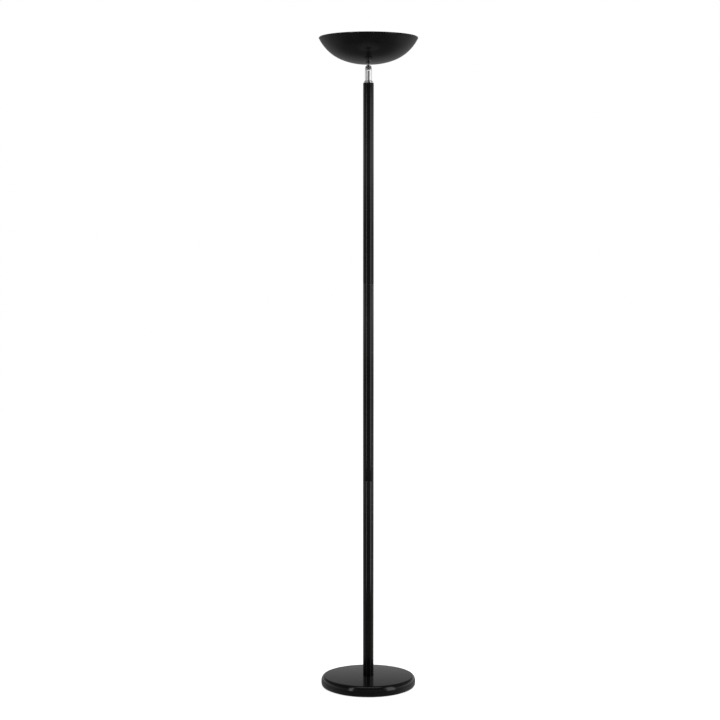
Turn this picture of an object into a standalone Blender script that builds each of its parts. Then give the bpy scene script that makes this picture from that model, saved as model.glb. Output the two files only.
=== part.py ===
"""Torchiere floor lamp: a weighted round base, a three-piece pole and a tilting bowl with a halogen tube.

Metres, +Z up. The origin is the middle of the base's underside, on the floor. The lamp's front is -Y, the
cord inlet is at the back (+Y), and the bowl tilts about a screw that runs along X.
"""

import math

import bmesh
import bpy
from mathutils import Vector

# Clearances
GAP = 0.0003  # between two pieces that touch
THREAD_GAP = 0.0003  # round a thread, screw or rod in its hole
CORE_GAP = 0.0010  # round a lead in its bore

# Overall
LAMP_HEIGHT = 1.800  # floor to the bowl's rim
BOWL_RADIUS = 0.136
BASE_RADIUS = 0.1315

# Base
BASE_HEIGHT = 0.032
BASE_SHOULDER = (0.009, 0.0145)  # inwards, downwards
BASE_FOOT_RADIUS = 0.0105
BASE_WALL = 0.0015
FELT_THICKNESS = 0.0015
FELT_INSET = 0.002
TIE_ROD_RADIUS = 0.005
TIE_ROD_BORE = 0.0032
BASE_NUT_HEIGHT = 0.0045
BASE_NUT_RADIUS = 0.0095
BASE_WASHER = (0.013, 0.002)  # radius, thickness
NUT_POCKET_ROOM = 0.003
POCKET_ROOF = 0.0056  # ballast left above the nut's pocket
CHANNEL_HALF_WIDTH = 0.005
INLET_HEIGHT = 0.0155
INLET_BORE = 0.0032
INLET_NECK_RADIUS = 0.0045
INLET_FLANGE = (0.0065, 0.0018)  # radius, thickness
INLET_SET_BACK = 0.0018  # inner flange to the curved wall

# Lead inside the pole
LEAD_RADIUS = 0.00225
LEAD_BEND = 0.009
LEAD_LOW_HEIGHT = 0.0075

# Pole
POLE_RADIUS = 0.01475
POLE_WALL = 0.0012
POLE_SECTIONS = 3
COUPLER_LENGTH = 0.060
COUPLER_WALL = 0.0025
FOOT_BUSH_LENGTH = 0.022
ROD_PAST_BUSH = 0.004
POLE_CAP_THICKNESS = 0.0025
POLE_CAP_SPIGOT = 0.016
POLE_CAP_EDGE = 0.0008

# Neck and knuckle
NECK_LENGTH = 0.0510  # pole cap to the bowl's underside
NECK_RADIUS = 0.0098
NECK_BORE = 0.0032
NECK_CHAMFER = 0.0008
COLLAR_RADIUS = 0.0125
COLLAR_HEIGHT = 0.0045
KNUCKLE_RADIUS = 0.008
KNUCKLE_DROP = 0.0095  # bowl's underside to the tilt screw
KNUCKLE_FLARE = 0.009  # height over which the neck narrows to the knuckle
SLOT_HALF_WIDTH = 0.0045
SLOT_ROOM = 0.0015  # slot's floor to the tongue
TONGUE_RADIUS = 0.0074
TONGUE_NECK_HALF = 0.0062
TONGUE_WALL = 0.0014
FRICTION_WASHER = (0.0062, 0.0005)  # radius, thickness
TILT_SCREW_RADIUS = 0.002
TILT_HEAD_RADIUS = 0.0034
TILT_SEAT_REACH = 0.0066  # middle of the knuckle to the screw's seats
TILT_HEAD_HEIGHT = 0.0016

# Bowl
BOWL_DEPTH = 0.0725
BOWL_WALL = 0.0012
BOWL_SEAT_RADIUS = 0.010
BOWL_CROWN_RADIUS = 0.170
BOWL_CROWN_SLOPE = math.radians(22)
BOWL_BEAD_RADIUS = 0.0022
BOWL_BEAD_START = math.radians(-45)
BOWL_BEAD_END = math.radians(225)
BOWL_HEM_SLOPE = math.radians(3)  # inner wall left free below the bead
STUD_RADIUS = 0.005
STUD_BORE = 0.0026
STUD_ROOT = 0.0008  # stud left below the tongue's shoulder
SEAT_WASHER = (0.008, 0.001)
SHADE_WASHER = (0.0098, 0.0012)
SHADE_NUT = (0.0098, 0.0065)
BRACKET_NUT = (0.0090, 0.0030)
STUD_PAST_NUT = 0.0009

# Lamp, its holders and their bracket
LAMP_LENGTH = 0.1176
LAMP_HEIGHT_IN_BOWL = 0.040
LAMP_TUBE_RADIUS = 0.0055
LAMP_TUBE_WALL = 0.0010
LAMP_TUBE_HALF = 0.047
LAMP_PINCH = (0.0036, 0.003)  # radius, length
LAMP_CAP_RADIUS = 0.0039
LAMP_CAP_DIMPLE = (0.0026, 0.0008)  # radius, depth
FILAMENT_RADIUS = 0.0006
SOCKET_MOUTH_DEPTH = 0.0058  # lamp's end to the socket's face
SOCKET_SIZE = (0.023, 0.016, 0.025)  # along the lamp, across, height
SOCKET_SHARE_BELOW = 0.6  # of its height, below the lamp's axis
SOCKET_CHAMBER_RADIUS = 0.0052
SOCKET_BACK_WALL = 0.0022
SOCKET_SPRING_BORE = 0.0032
SOCKET_EDGE = 0.0012
CONTACT_TIP = (0.0022, 0.0040)  # radius, length
CONTACT_NOSE = 0.6  # flat of the nose over the tip's radius
CONTACT_COLLAR = (0.0047, 0.0015)
CONTACT_TAIL = (0.0013, 0.0045)
CONTACT_TRAVEL = 0.003
SPRING_WIRE = 0.00035
SPRING_RADIUS = 0.0023
SPRING_TURNS = 5
SPRING_POINTS = 10  # per turn
BRACKET_THICKNESS = 0.0015
BRACKET_HALF_WIDTH = 0.010
BRACKET_FLAT = 0.034
BRACKET_RISE_END = 0.044
BRACKET_SHELF_PAST_SOCKET = 0.001
SOCKET_SCREW = (0.0017, 0.0080)
SOCKET_SCREW_HEAD = (0.0030, 0.0018)
SCREW_CROWN = 0.7  # flat of a pan head over its radius
SCREW_STEPS = 12
TERMINAL_SIZE = (0.012, 0.020, 0.0115)
TERMINAL_PLACE = 0.020
TERMINAL_BORE = 0.0015
TERMINAL_PITCH = 0.010
SHADE_LEAD_RADIUS = 0.0019
WIRE_RADIUS = 0.0010
WIRE_SIDE = 0.0145  # wires beside the bracket
WIRE_ENTRY = 0.005  # below the lamp's axis

# Reflector and glass
REFLECTOR_THICKNESS = 0.0008
REFLECTOR_HALF_FLAT = 0.009
REFLECTOR_BEND = 0.032
REFLECTOR_BEND_ANGLE = math.radians(75)
REFLECTOR_FLANGE = 0.005
REFLECTOR_END_GAP = 0.0025
REFLECTOR_SCREW = (0.0015, 0.0060)
REFLECTOR_SCREW_HEAD = (0.0028, 0.0015)
GLASS_THICKNESS = 0.003
GLASS_CORNER = 0.006
CLIP_THICKNESS = 0.0006
CLIP_HALF_WIDTH = 0.007
CLIP_GRIP = 0.006

# How finely round pieces are divided
BIG_STEPS = 48
TUBE_STEPS = 32
SMALL_STEPS = 20
MERGE = 1e-6

# Places that follow from the sizes above
BOWL_BOTTOM = LAMP_HEIGHT - BOWL_DEPTH
PIVOT_HEIGHT = BOWL_BOTTOM - KNUCKLE_DROP
POLE_TOP = BOWL_BOTTOM - NECK_LENGTH
COVER_BOTTOM = FELT_THICKNESS + GAP
WEIGHT_TOP = BASE_HEIGHT - BASE_WALL - GAP
WEIGHT_RADIUS = BASE_RADIUS - BASE_FOOT_RADIUS - 3 * GAP
POCKET_TOP = WEIGHT_TOP - POCKET_ROOF
ROD_HOLE = TIE_ROD_RADIUS + THREAD_GAP
POLE_BOTTOM = BASE_HEIGHT + GAP
POLE_BORE = POLE_RADIUS - POLE_WALL
TUBE_TOP = POLE_TOP - POLE_CAP_THICKNESS - GAP
SECTION_LENGTH = (TUBE_TOP - POLE_BOTTOM) / POLE_SECTIONS
TONGUE_HALF = SLOT_HALF_WIDTH - FRICTION_WASHER[1] - 2 * GAP
SHOULDER_HEIGHT = BOWL_BOTTOM - SEAT_WASHER[1] - 2 * GAP
WASHER_BASE = BOWL_BOTTOM + BOWL_WALL + GAP
NUT_BASE = WASHER_BASE + SHADE_WASHER[1] + GAP
BRACKET_BASE = NUT_BASE + SHADE_NUT[1] + GAP
BRACKET_TOP = BRACKET_BASE + BRACKET_THICKNESS
STUD_TOP = BRACKET_TOP + GAP + BRACKET_NUT[1] + STUD_PAST_NUT
LAMP_AXIS = BOWL_BOTTOM + LAMP_HEIGHT_IN_BOWL
LAMP_END = LAMP_LENGTH / 2
SOCKET_FACE = LAMP_END - SOCKET_MOUTH_DEPTH
SOCKET_BACK = SOCKET_FACE + SOCKET_SIZE[0]
SOCKET_FLOOR = LAMP_AXIS - SOCKET_SIZE[2] * SOCKET_SHARE_BELOW
SHELF_TOP = SOCKET_FLOOR - GAP
REFLECTOR_HALF_LENGTH = SOCKET_FACE - REFLECTOR_END_GAP
CONTACT_START = LAMP_END + GAP
COLLAR_START = CONTACT_START + CONTACT_TIP[1]
CHAMBER_START = COLLAR_START - GAP
CHAMBER_END = COLLAR_START + CONTACT_COLLAR[1] + CONTACT_TRAVEL + GAP
SPRING_BORE_END = SOCKET_BACK - SOCKET_BACK_WALL


def clear_scene():
    for obj in list(bpy.data.objects):
        bpy.data.objects.remove(obj, do_unlink=True)


def finish(name, colour, roughness, metallic=0.0, alpha=1.0):
    """A Principled material."""
    material = bpy.data.materials.new(name)
    material.use_nodes = True
    shader = material.node_tree.nodes["Principled BSDF"]
    shader.inputs["Base Color"].default_value = (*colour, 1.0)
    shader.inputs["Roughness"].default_value = roughness
    shader.inputs["Metallic"].default_value = metallic
    shader.inputs["Alpha"].default_value = alpha
    return material


def make_finishes():
    return {
        "black_paint": finish("black_paint", (0.012, 0.012, 0.012), 0.32),
        "chrome": finish("chrome", (0.78, 0.78, 0.79), 0.08, 1.0),
        "zinc": finish("zinc", (0.55, 0.55, 0.56), 0.35, 1.0),
        "cement": finish("cement", (0.42, 0.41, 0.39), 0.9),
        "felt": finish("felt", (0.02, 0.02, 0.02), 0.95),
        "rubber": finish("rubber", (0.015, 0.015, 0.015), 0.6),
        "lead_sheath": finish("lead_sheath", (0.02, 0.02, 0.02), 0.5),
        "ceramic": finish("ceramic", (0.85, 0.84, 0.80), 0.5),
        "bright_aluminium": finish("bright_aluminium", (0.80, 0.80, 0.80), 0.25, 1.0),
        "quartz": finish("quartz", (0.95, 0.96, 0.97), 0.03, 0.0, 0.35),
        "tungsten": finish("tungsten", (0.35, 0.34, 0.33), 0.4, 1.0),
        "brass": finish("brass", (0.72, 0.53, 0.24), 0.3, 1.0),
        "wire_sleeve": finish("wire_sleeve", (0.80, 0.79, 0.75), 0.7),
    }


def empty(name, place):
    obj = bpy.data.objects.new(name, None)
    obj.empty_display_size = 0.02
    obj.location = place
    bpy.context.scene.collection.objects.link(obj)
    return obj


def solid(name, bm, material, sharp=math.radians(35)):
    """An object from a bmesh, shaded smooth with its hard edges kept."""
    bmesh.ops.remove_doubles(bm, verts=bm.verts, dist=MERGE)
    bmesh.ops.recalc_face_normals(bm, faces=bm.faces)
    mesh = bpy.data.meshes.new(name)
    bm.to_mesh(mesh)
    bm.free()
    mesh.shade_smooth()
    mesh.set_sharp_from_angle(angle=sharp)
    obj = bpy.data.objects.new(name, mesh)
    bpy.context.scene.collection.objects.link(obj)
    if material is not None:
        mesh.materials.append(material)
    return obj


def ring_of(outline, steps):
    """A bmesh turned about Z from the corners (radius, height) of a closed outline."""
    bm = bmesh.new()
    corners = [bm.verts.new((radius, 0, height)) for radius, height in outline]
    edges = [bm.edges.new((a, b)) for a, b in zip(corners, corners[1:] + corners[:1])]
    bmesh.ops.spin(
        bm,
        geom=corners + edges,
        cent=(0, 0, 0),
        axis=(0, 0, 1),
        angle=math.tau,
        steps=steps,
        use_merge=True,
    )
    return bm


def turned(name, outline, material, steps=SMALL_STEPS):
    return solid(name, ring_of(outline, steps), material)


def washer(name, bore, radius, bottom, thickness, material, steps=SMALL_STEPS):
    top = bottom + thickness
    return turned(name, [(bore, bottom), (radius, bottom), (radius, top), (bore, top)], material, steps)


def rod(name, radius, bottom, top, material, steps=SMALL_STEPS):
    """A plain round bar along Z."""
    bm = bmesh.new()
    bmesh.ops.create_cone(
        bm, cap_ends=True, segments=steps, radius1=radius, radius2=radius, depth=top - bottom
    )
    bmesh.ops.translate(bm, verts=bm.verts, vec=(0, 0, (top + bottom) / 2))
    return solid(name, bm, material)


def box(name, low, high, material, edge=0.0):
    """A block between two corners, with its edges rounded by edge."""
    bm = bmesh.new()
    bmesh.ops.create_cube(bm, size=1)
    bmesh.ops.scale(bm, verts=bm.verts, vec=Vector(high) - Vector(low))
    bmesh.ops.translate(bm, verts=bm.verts, vec=(Vector(low) + Vector(high)) / 2)
    if edge:
        bmesh.ops.bevel(
            bm, geom=bm.edges[:], offset=edge, affect="EDGES", segments=2, profile=0.5, material=-1
        )
    return solid(name, bm, material)


def sheet(name, outline, half_width, thickness, material, along="Y"):
    """A bent strip: an open outline, swept to both sides along X or Y, with its thickness about it."""
    bm = bmesh.new()
    if along == "Y":
        start = [bm.verts.new((x, -half_width, z)) for x, z in outline]
        across = Vector((0, 2 * half_width, 0))
    else:
        start = [bm.verts.new((-half_width, y, z)) for y, z in outline]
        across = Vector((2 * half_width, 0, 0))
    edges = [bm.edges.new(pair) for pair in zip(start, start[1:])]
    swept = bmesh.ops.extrude_edge_only(bm, edges=edges)["geom"]
    moved = [item for item in swept if isinstance(item, bmesh.types.BMVert)]
    bmesh.ops.translate(bm, verts=moved, vec=across)
    obj = solid(name, bm, material)
    thicken = obj.modifiers.new("thickness", "SOLIDIFY")
    thicken.thickness = thickness
    thicken.offset = 0
    thicken.use_even_offset = True
    return obj


def cut(target, *cutters):
    """Takes the cutters out of the target and keeps them as wire guides."""
    for cutter in cutters:
        cutter.hide_render = True
        cutter.display_type = "WIRE"
        boolean = target.modifiers.new(cutter.name, "BOOLEAN")
        boolean.operation = "DIFFERENCE"
        boolean.object = cutter


def join_solid(target, other):
    """Adds another closed shape to the target."""
    other.hide_render = True
    other.display_type = "WIRE"
    boolean = target.modifiers.new(other.name, "BOOLEAN")
    boolean.operation = "UNION"
    boolean.object = other


def nut(name, bore, radius, bottom, height, material):
    """A hexagon nut along Z."""
    body = rod(name, radius, bottom, bottom + height, material, steps=6)
    cut(body, rod(f"{name}_bore", bore, bottom - height, bottom + 2 * height, None))
    return body


def arc(centre, radii, start, end, steps):
    """Corners (radius, height) along an elliptical arc, from one angle to another."""
    angles = [start + (end - start) * i / steps for i in range(steps + 1)]
    return [(centre[0] + radii[0] * math.cos(t), centre[1] + radii[1] * math.sin(t)) for t in angles]


def smooth_route(stops, per_leg):
    """Points along a Catmull-Rom curve through the stops."""
    stops = [Vector(stop) for stop in stops]
    ends = [2 * stops[0] - stops[1], *stops, 2 * stops[-1] - stops[-2]]
    points = []
    for before, a, b, after in zip(ends, ends[1:], ends[2:], ends[3:]):
        for i in range(per_leg):
            t = i / per_leg
            points.append(
                0.5
                * (
                    2 * a
                    + (b - before) * t
                    + (2 * before - 5 * a + 4 * b - after) * t**2
                    + (3 * a - before - 3 * b + after) * t**3
                )
            )
    return [*points, stops[-1]]


def lead(name, points, radius, material, sides=2):
    """A round lead or wire along points, as a curve with filled ends."""
    curve = bpy.data.curves.new(name, "CURVE")
    curve.dimensions = "3D"
    curve.bevel_depth = radius
    curve.bevel_resolution = sides
    curve.use_fill_caps = True
    spline = curve.splines.new("POLY")
    spline.points.add(len(points) - 1)
    for knot, point in zip(spline.points, points):
        knot.co = (*point, 1.0)
    obj = bpy.data.objects.new(name, curve)
    curve.materials.append(material)
    bpy.context.scene.collection.objects.link(obj)
    return obj


def turn_to_x(obj, side, place=(0, 0, 0)):
    """Lays a piece made along Z down along X, towards +X or -X, at a place."""
    obj.rotation_euler = (0, side * math.pi / 2, 0)
    obj.location = place


def hang(pieces, parent):
    """Parents pieces to an empty on their joint's axis and leaves them where they are."""
    for piece in pieces:
        piece.parent = parent
        piece.location = piece.location - parent.location


# Base


def base_cover(finishes):
    """Pressed steel cover: flat top, soft shoulder, rounded foot, open underneath."""
    inwards, downwards = BASE_SHOULDER
    foot_centre = (BASE_RADIUS - BASE_FOOT_RADIUS, COVER_BOTTOM + BASE_FOOT_RADIUS)
    shoulder_centre = (BASE_RADIUS - inwards, BASE_HEIGHT - downwards)
    inner_foot = BASE_FOOT_RADIUS - BASE_WALL
    inner_shoulder = (inwards - BASE_WALL, downwards - BASE_WALL)
    outline = arc(foot_centre, (BASE_FOOT_RADIUS, BASE_FOOT_RADIUS), -math.pi / 2, 0, 4)
    outline += arc(shoulder_centre, BASE_SHOULDER, 0, math.pi / 2, 5)
    outline += [(ROD_HOLE, BASE_HEIGHT), (ROD_HOLE, BASE_HEIGHT - BASE_WALL)]
    outline += arc(shoulder_centre, inner_shoulder, math.pi / 2, 0, 4)
    outline += arc(foot_centre, (inner_foot, inner_foot), 0, -math.pi / 2, 3)
    cover = turned("base_cover", outline, finishes["black_paint"], BIG_STEPS)
    hole = rod("inlet_hole", INLET_NECK_RADIUS + GAP, -inwards, inwards, None)
    hole.rotation_euler = (-math.pi / 2, 0, 0)
    hole.location = (0, BASE_RADIUS, INLET_HEIGHT)
    cut(cover, hole)


def base_weight(finishes):
    """Cement ballast with a pocket for the nut and a channel for the lead."""
    weight = rod("base_weight", WEIGHT_RADIUS, COVER_BOTTOM, WEIGHT_TOP, finishes["cement"], BIG_STEPS)
    pocket_radius = BASE_WASHER[0] + NUT_POCKET_ROOM
    channel_top = INLET_HEIGHT + LEAD_RADIUS + CORE_GAP
    cut(
        weight,
        rod("nut_pocket", pocket_radius, -COVER_BOTTOM, POCKET_TOP, None),
        rod("rod_hole", ROD_HOLE, COVER_BOTTOM, BASE_HEIGHT, None),
        box(
            "lead_channel",
            (-CHANNEL_HALF_WIDTH, 0, -COVER_BOTTOM),
            (CHANNEL_HALF_WIDTH, BASE_RADIUS, channel_top),
            None,
        ),
    )


def felt_pad(finishes):
    radius = BASE_RADIUS - BASE_FOOT_RADIUS - FELT_INSET
    rod("felt_pad", radius, 0, FELT_THICKNESS, finishes["felt"], BIG_STEPS)


def cord_inlet(finishes):
    """Rubber grommet that lines the hole at the back of the cover."""
    radius, thickness = INLET_FLANGE
    outside = GAP
    inside = -BASE_WALL - INLET_SET_BACK
    outline = [
        (INLET_BORE, inside - thickness),
        (radius - thickness / 3, inside - thickness),
        (radius - thickness / 3, inside),
        (INLET_NECK_RADIUS, inside),
        (INLET_NECK_RADIUS, outside),
        (radius, outside),
        (radius, outside + thickness / 2),
        (radius - thickness / 2, outside + thickness),
        (INLET_BORE, outside + thickness),
    ]
    grommet = turned("cord_inlet", outline, finishes["rubber"])
    grommet.rotation_euler = (-math.pi / 2, 0, 0)
    grommet.location = (0, BASE_RADIUS, INLET_HEIGHT)


def tie_rod(finishes):
    """Hollow threaded rod that pulls the pole down on the base, with its washer and nut."""
    washer_base = POCKET_TOP - GAP - BASE_WASHER[1]
    nut_base = washer_base - GAP - BASE_NUT_HEIGHT
    rod_top = POLE_BOTTOM + GAP + FOOT_BUSH_LENGTH + ROD_PAST_BUSH
    washer("base_washer", ROD_HOLE, BASE_WASHER[0], washer_base, BASE_WASHER[1], finishes["zinc"])
    nut("base_nut", ROD_HOLE, BASE_NUT_RADIUS, nut_base, BASE_NUT_HEIGHT, finishes["zinc"])
    washer("tie_rod", TIE_ROD_BORE, TIE_ROD_RADIUS, nut_base - GAP, rod_top - nut_base + GAP, finishes["zinc"])


# Pole


def pole(finishes):
    """Steel tubes end to end on inner couplers, with a bush at the foot and a cap at the top."""
    names = ["pole_lower", "pole_middle", "pole_upper"]
    couplers = ["coupler_lower", "coupler_upper"]
    inner = POLE_BORE - GAP
    for i, name in enumerate(names):
        bottom = POLE_BOTTOM + i * SECTION_LENGTH
        length = SECTION_LENGTH if i == len(names) - 1 else SECTION_LENGTH - GAP
        washer(name, POLE_BORE, POLE_RADIUS, bottom, length, finishes["black_paint"], TUBE_STEPS)
    for i, name in enumerate(couplers):
        middle = POLE_BOTTOM + (i + 1) * SECTION_LENGTH
        bottom = middle - COUPLER_LENGTH / 2
        washer(name, inner - COUPLER_WALL, inner, bottom, COUPLER_LENGTH, finishes["zinc"], TUBE_STEPS)
    bush_base = POLE_BOTTOM + GAP
    washer("foot_bush", ROD_HOLE, inner, bush_base, FOOT_BUSH_LENGTH, finishes["zinc"], TUBE_STEPS)
    cap_base = POLE_TOP - POLE_CAP_THICKNESS
    outline = [
        (STUD_RADIUS + THREAD_GAP, cap_base - POLE_CAP_SPIGOT),
        (inner, cap_base - POLE_CAP_SPIGOT),
        (inner, cap_base),
        (POLE_RADIUS, cap_base),
        (POLE_RADIUS, POLE_TOP - POLE_CAP_EDGE),
        (POLE_RADIUS - POLE_CAP_EDGE, POLE_TOP),
        (STUD_RADIUS + THREAD_GAP, POLE_TOP),
    ]
    turned("pole_cap", outline, finishes["black_paint"], TUBE_STEPS)


def pole_lead(finishes):
    """The lead from behind the inlet, through the ballast's channel and the rod, up the pole to the knuckle."""
    start = BASE_RADIUS - BASE_WALL - INLET_SET_BACK - INLET_FLANGE[1] - GAP
    fall = INLET_HEIGHT - LEAD_LOW_HEIGHT
    stops = [
        (0, start, INLET_HEIGHT),
        (0, start - fall, INLET_HEIGHT - fall / 10),
        (0, start - 3 * fall, LEAD_LOW_HEIGHT + fall / 10),
        (0, start - 4 * fall, LEAD_LOW_HEIGHT),
    ]
    points = smooth_route(stops, 4)
    for y, z in arc((LEAD_BEND, LEAD_LOW_HEIGHT + LEAD_BEND), (LEAD_BEND, LEAD_BEND), -math.pi / 2, -math.pi, 6):
        points.append(Vector((0, y, z)))
    slot_floor = PIVOT_HEIGHT - TONGUE_RADIUS - SLOT_ROOM
    points.append(Vector((0, 0, slot_floor)))
    lead("pole_lead", points, LEAD_RADIUS, finishes["lead_sheath"])


# Neck and knuckle


def neck(finishes):
    """Collar and forked stem, turned from bar and plated."""
    collar_top = POLE_TOP + GAP + COLLAR_HEIGHT
    bore = STUD_RADIUS + THREAD_GAP
    half = COLLAR_HEIGHT / 2
    outline = [(bore, POLE_TOP + GAP), (COLLAR_RADIUS, POLE_TOP + GAP)]
    outline += arc((COLLAR_RADIUS - half, POLE_TOP + GAP + half), (half, half), 0, math.pi / 2, 4)
    outline += [(bore, collar_top)]
    turned("neck_collar", outline, finishes["chrome"], TUBE_STEPS)

    stem_bottom = collar_top + GAP
    flare_bottom = PIVOT_HEIGHT - KNUCKLE_FLARE
    dome_end = math.acos(NECK_BORE / KNUCKLE_RADIUS)
    outline = [
        (NECK_BORE, POLE_TOP - POLE_CAP_SPIGOT),
        (STUD_RADIUS, POLE_TOP - POLE_CAP_SPIGOT),
        (STUD_RADIUS, stem_bottom),
        (NECK_RADIUS - NECK_CHAMFER, stem_bottom),
        (NECK_RADIUS, stem_bottom + NECK_CHAMFER),
    ]
    flare = NECK_RADIUS - KNUCKLE_RADIUS
    outline += arc((KNUCKLE_RADIUS, flare_bottom), (flare, KNUCKLE_FLARE), 0, math.pi / 2, 4)
    outline += arc((0, PIVOT_HEIGHT), (KNUCKLE_RADIUS, KNUCKLE_RADIUS), 0, dome_end, 6)[1:]
    fork = turned("neck_fork", outline, finishes["chrome"], TUBE_STEPS)
    slot_floor = PIVOT_HEIGHT - TONGUE_RADIUS - SLOT_ROOM
    reach = 2 * NECK_RADIUS
    screw_hole = rod("screw_hole", TILT_SCREW_RADIUS + THREAD_GAP, -reach, reach, None)
    turn_to_x(screw_hole, 1, (0, 0, PIVOT_HEIGHT))
    seats = []
    for side, name in ((1, "head_seat"), (-1, "nut_seat")):
        seat = rod(name, TILT_HEAD_RADIUS + GAP, TILT_SEAT_REACH, reach, None)
        turn_to_x(seat, side, (0, 0, PIVOT_HEIGHT))
        seats.append(seat)
    slot = box(
        "fork_slot",
        (-SLOT_HALF_WIDTH, -reach, slot_floor),
        (SLOT_HALF_WIDTH, reach, PIVOT_HEIGHT + reach),
        None,
    )
    cut(fork, slot, screw_hole, *seats)


def tilt_screw(finishes):
    """Screw, nut and friction washers that clamp the tongue in the fork."""
    pivot = (0, 0, PIVOT_HEIGHT)
    head_base = TILT_SEAT_REACH + GAP
    head_top = head_base + TILT_HEAD_HEIGHT
    tip = -head_top
    rounding = TILT_HEAD_HEIGHT / 2
    outline = [
        (0, tip),
        (TILT_SCREW_RADIUS, tip),
        (TILT_SCREW_RADIUS, head_base),
        (TILT_HEAD_RADIUS, head_base),
        (TILT_HEAD_RADIUS, head_top - rounding),
        (TILT_HEAD_RADIUS - rounding, head_top),
        (0, head_top),
    ]
    screw = turned("tilt_screw", outline, finishes["chrome"])
    turn_to_x(screw, 1, pivot)
    hole = TILT_SCREW_RADIUS + THREAD_GAP
    tilt_nut = washer("tilt_nut", hole, TILT_HEAD_RADIUS, head_base, TILT_HEAD_HEIGHT, finishes["chrome"])
    turn_to_x(tilt_nut, -1, pivot)
    radius, thickness = FRICTION_WASHER
    for side, name in ((1, "friction_washer_right"), (-1, "friction_washer_left")):
        ring = washer(name, hole, radius, TONGUE_HALF + GAP, thickness, finishes["zinc"])
        turn_to_x(ring, side, pivot)


def shade_tongue(finishes):
    """The moving half of the knuckle: a hollow tongue with a threaded stud for the bowl."""
    disc = rod("shade_tongue", TONGUE_RADIUS, -TONGUE_HALF, TONGUE_HALF, finishes["chrome"], TUBE_STEPS)
    turn_to_x(disc, 1, (0, 0, PIVOT_HEIGHT))
    block = box(
        "tongue_neck",
        (-TONGUE_HALF, -TONGUE_NECK_HALF, PIVOT_HEIGHT),
        (TONGUE_HALF, TONGUE_NECK_HALF, SHOULDER_HEIGHT),
        None,
    )
    stud = rod("tongue_stud", STUD_RADIUS, SHOULDER_HEIGHT - STUD_ROOT, STUD_TOP, None, TUBE_STEPS)
    join_solid(disc, block)
    join_solid(disc, stud)
    passage_half = TONGUE_HALF - TONGUE_WALL
    passage_length = TONGUE_NECK_HALF - TONGUE_WALL
    passage = box(
        "wire_passage",
        (-passage_half, -passage_length, PIVOT_HEIGHT - 2 * TONGUE_RADIUS),
        (passage_half, passage_length, PIVOT_HEIGHT + TONGUE_NECK_HALF - TONGUE_WALL),
        None,
    )
    bore = rod("stud_bore", STUD_BORE, PIVOT_HEIGHT, STUD_TOP + STUD_BORE, None)
    pin_hole = rod("tongue_hole", TILT_SCREW_RADIUS + THREAD_GAP, -2 * TONGUE_HALF, 2 * TONGUE_HALF, None)
    turn_to_x(pin_hole, 1, (0, 0, PIVOT_HEIGHT))
    cut(disc, passage, bore, pin_hole)
    return [disc]


# Bowl


def bowl_curves():
    """The crown's end, and the centre and radius of the side arc that runs on from it to the rim bead."""
    slope = BOWL_CROWN_SLOPE
    crown_end = Vector(
        (
            BOWL_SEAT_RADIUS + BOWL_CROWN_RADIUS * math.sin(slope),
            BOWL_CROWN_RADIUS * (1 - math.cos(slope)),
        )
    )
    bead_centre = Vector((BOWL_RADIUS - BOWL_BEAD_RADIUS, BOWL_DEPTH - BOWL_BEAD_RADIUS))
    towards = Vector((math.cos(BOWL_BEAD_START), math.sin(BOWL_BEAD_START)))
    rim = bead_centre + BOWL_BEAD_RADIUS * towards
    inwards = Vector((-math.sin(slope), math.cos(slope)))
    chord = rim - crown_end
    radius = chord.length_squared / (2 * chord.dot(inwards))
    centre = crown_end + radius * inwards
    return bead_centre, rim, centre, radius


def shade_bowl(finishes):
    """Spun steel bowl with a rolled bead at the rim and a flat seat at the bottom."""
    bead_centre, rim, centre, radius = bowl_curves()
    crown_centre = (BOWL_SEAT_RADIUS, BOWL_CROWN_RADIUS)
    down = -math.pi / 2
    crown_stop = down + BOWL_CROWN_SLOPE
    rim_angle = math.atan2(rim.y - centre.y, rim.x - centre.x)
    hole = STUD_RADIUS + THREAD_GAP
    inner_crown = BOWL_CROWN_RADIUS - BOWL_WALL
    inner_side = radius - BOWL_WALL
    bead = (BOWL_BEAD_RADIUS, BOWL_BEAD_RADIUS)
    outline = [(hole, 0)]
    outline += arc(crown_centre, (BOWL_CROWN_RADIUS, BOWL_CROWN_RADIUS), down, crown_stop, 4)
    outline += arc(centre, (radius, radius), crown_stop, rim_angle, 7)[1:-1]
    outline += arc(bead_centre, bead, BOWL_BEAD_START, BOWL_BEAD_END, 6)
    outline += arc(centre, (inner_side, inner_side), rim_angle - BOWL_HEM_SLOPE, crown_stop, 6)[:-1]
    outline += arc(crown_centre, (inner_crown, inner_crown), crown_stop, down, 4)
    outline += [(hole, BOWL_WALL)]
    bowl = turned("shade_bowl", outline, finishes["black_paint"], BIG_STEPS)
    bowl.location = (0, 0, BOWL_BOTTOM)
    return [bowl]


def shade_fixings(finishes):
    """Washers and nuts on the tongue's stud, below and inside the bowl."""
    hole = STUD_RADIUS + THREAD_GAP
    zinc = finishes["zinc"]
    seat_base = BOWL_BOTTOM - GAP - SEAT_WASHER[1]
    return [
        washer("seat_washer", hole, SEAT_WASHER[0], seat_base, SEAT_WASHER[1], finishes["chrome"]),
        washer("shade_washer", hole, SHADE_WASHER[0], WASHER_BASE, SHADE_WASHER[1], zinc),
        nut("shade_nut", hole, SHADE_NUT[0], NUT_BASE, SHADE_NUT[1], zinc),
        nut("bracket_nut", hole, BRACKET_NUT[0], BRACKET_TOP + GAP, BRACKET_NUT[1], zinc),
    ]


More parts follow.
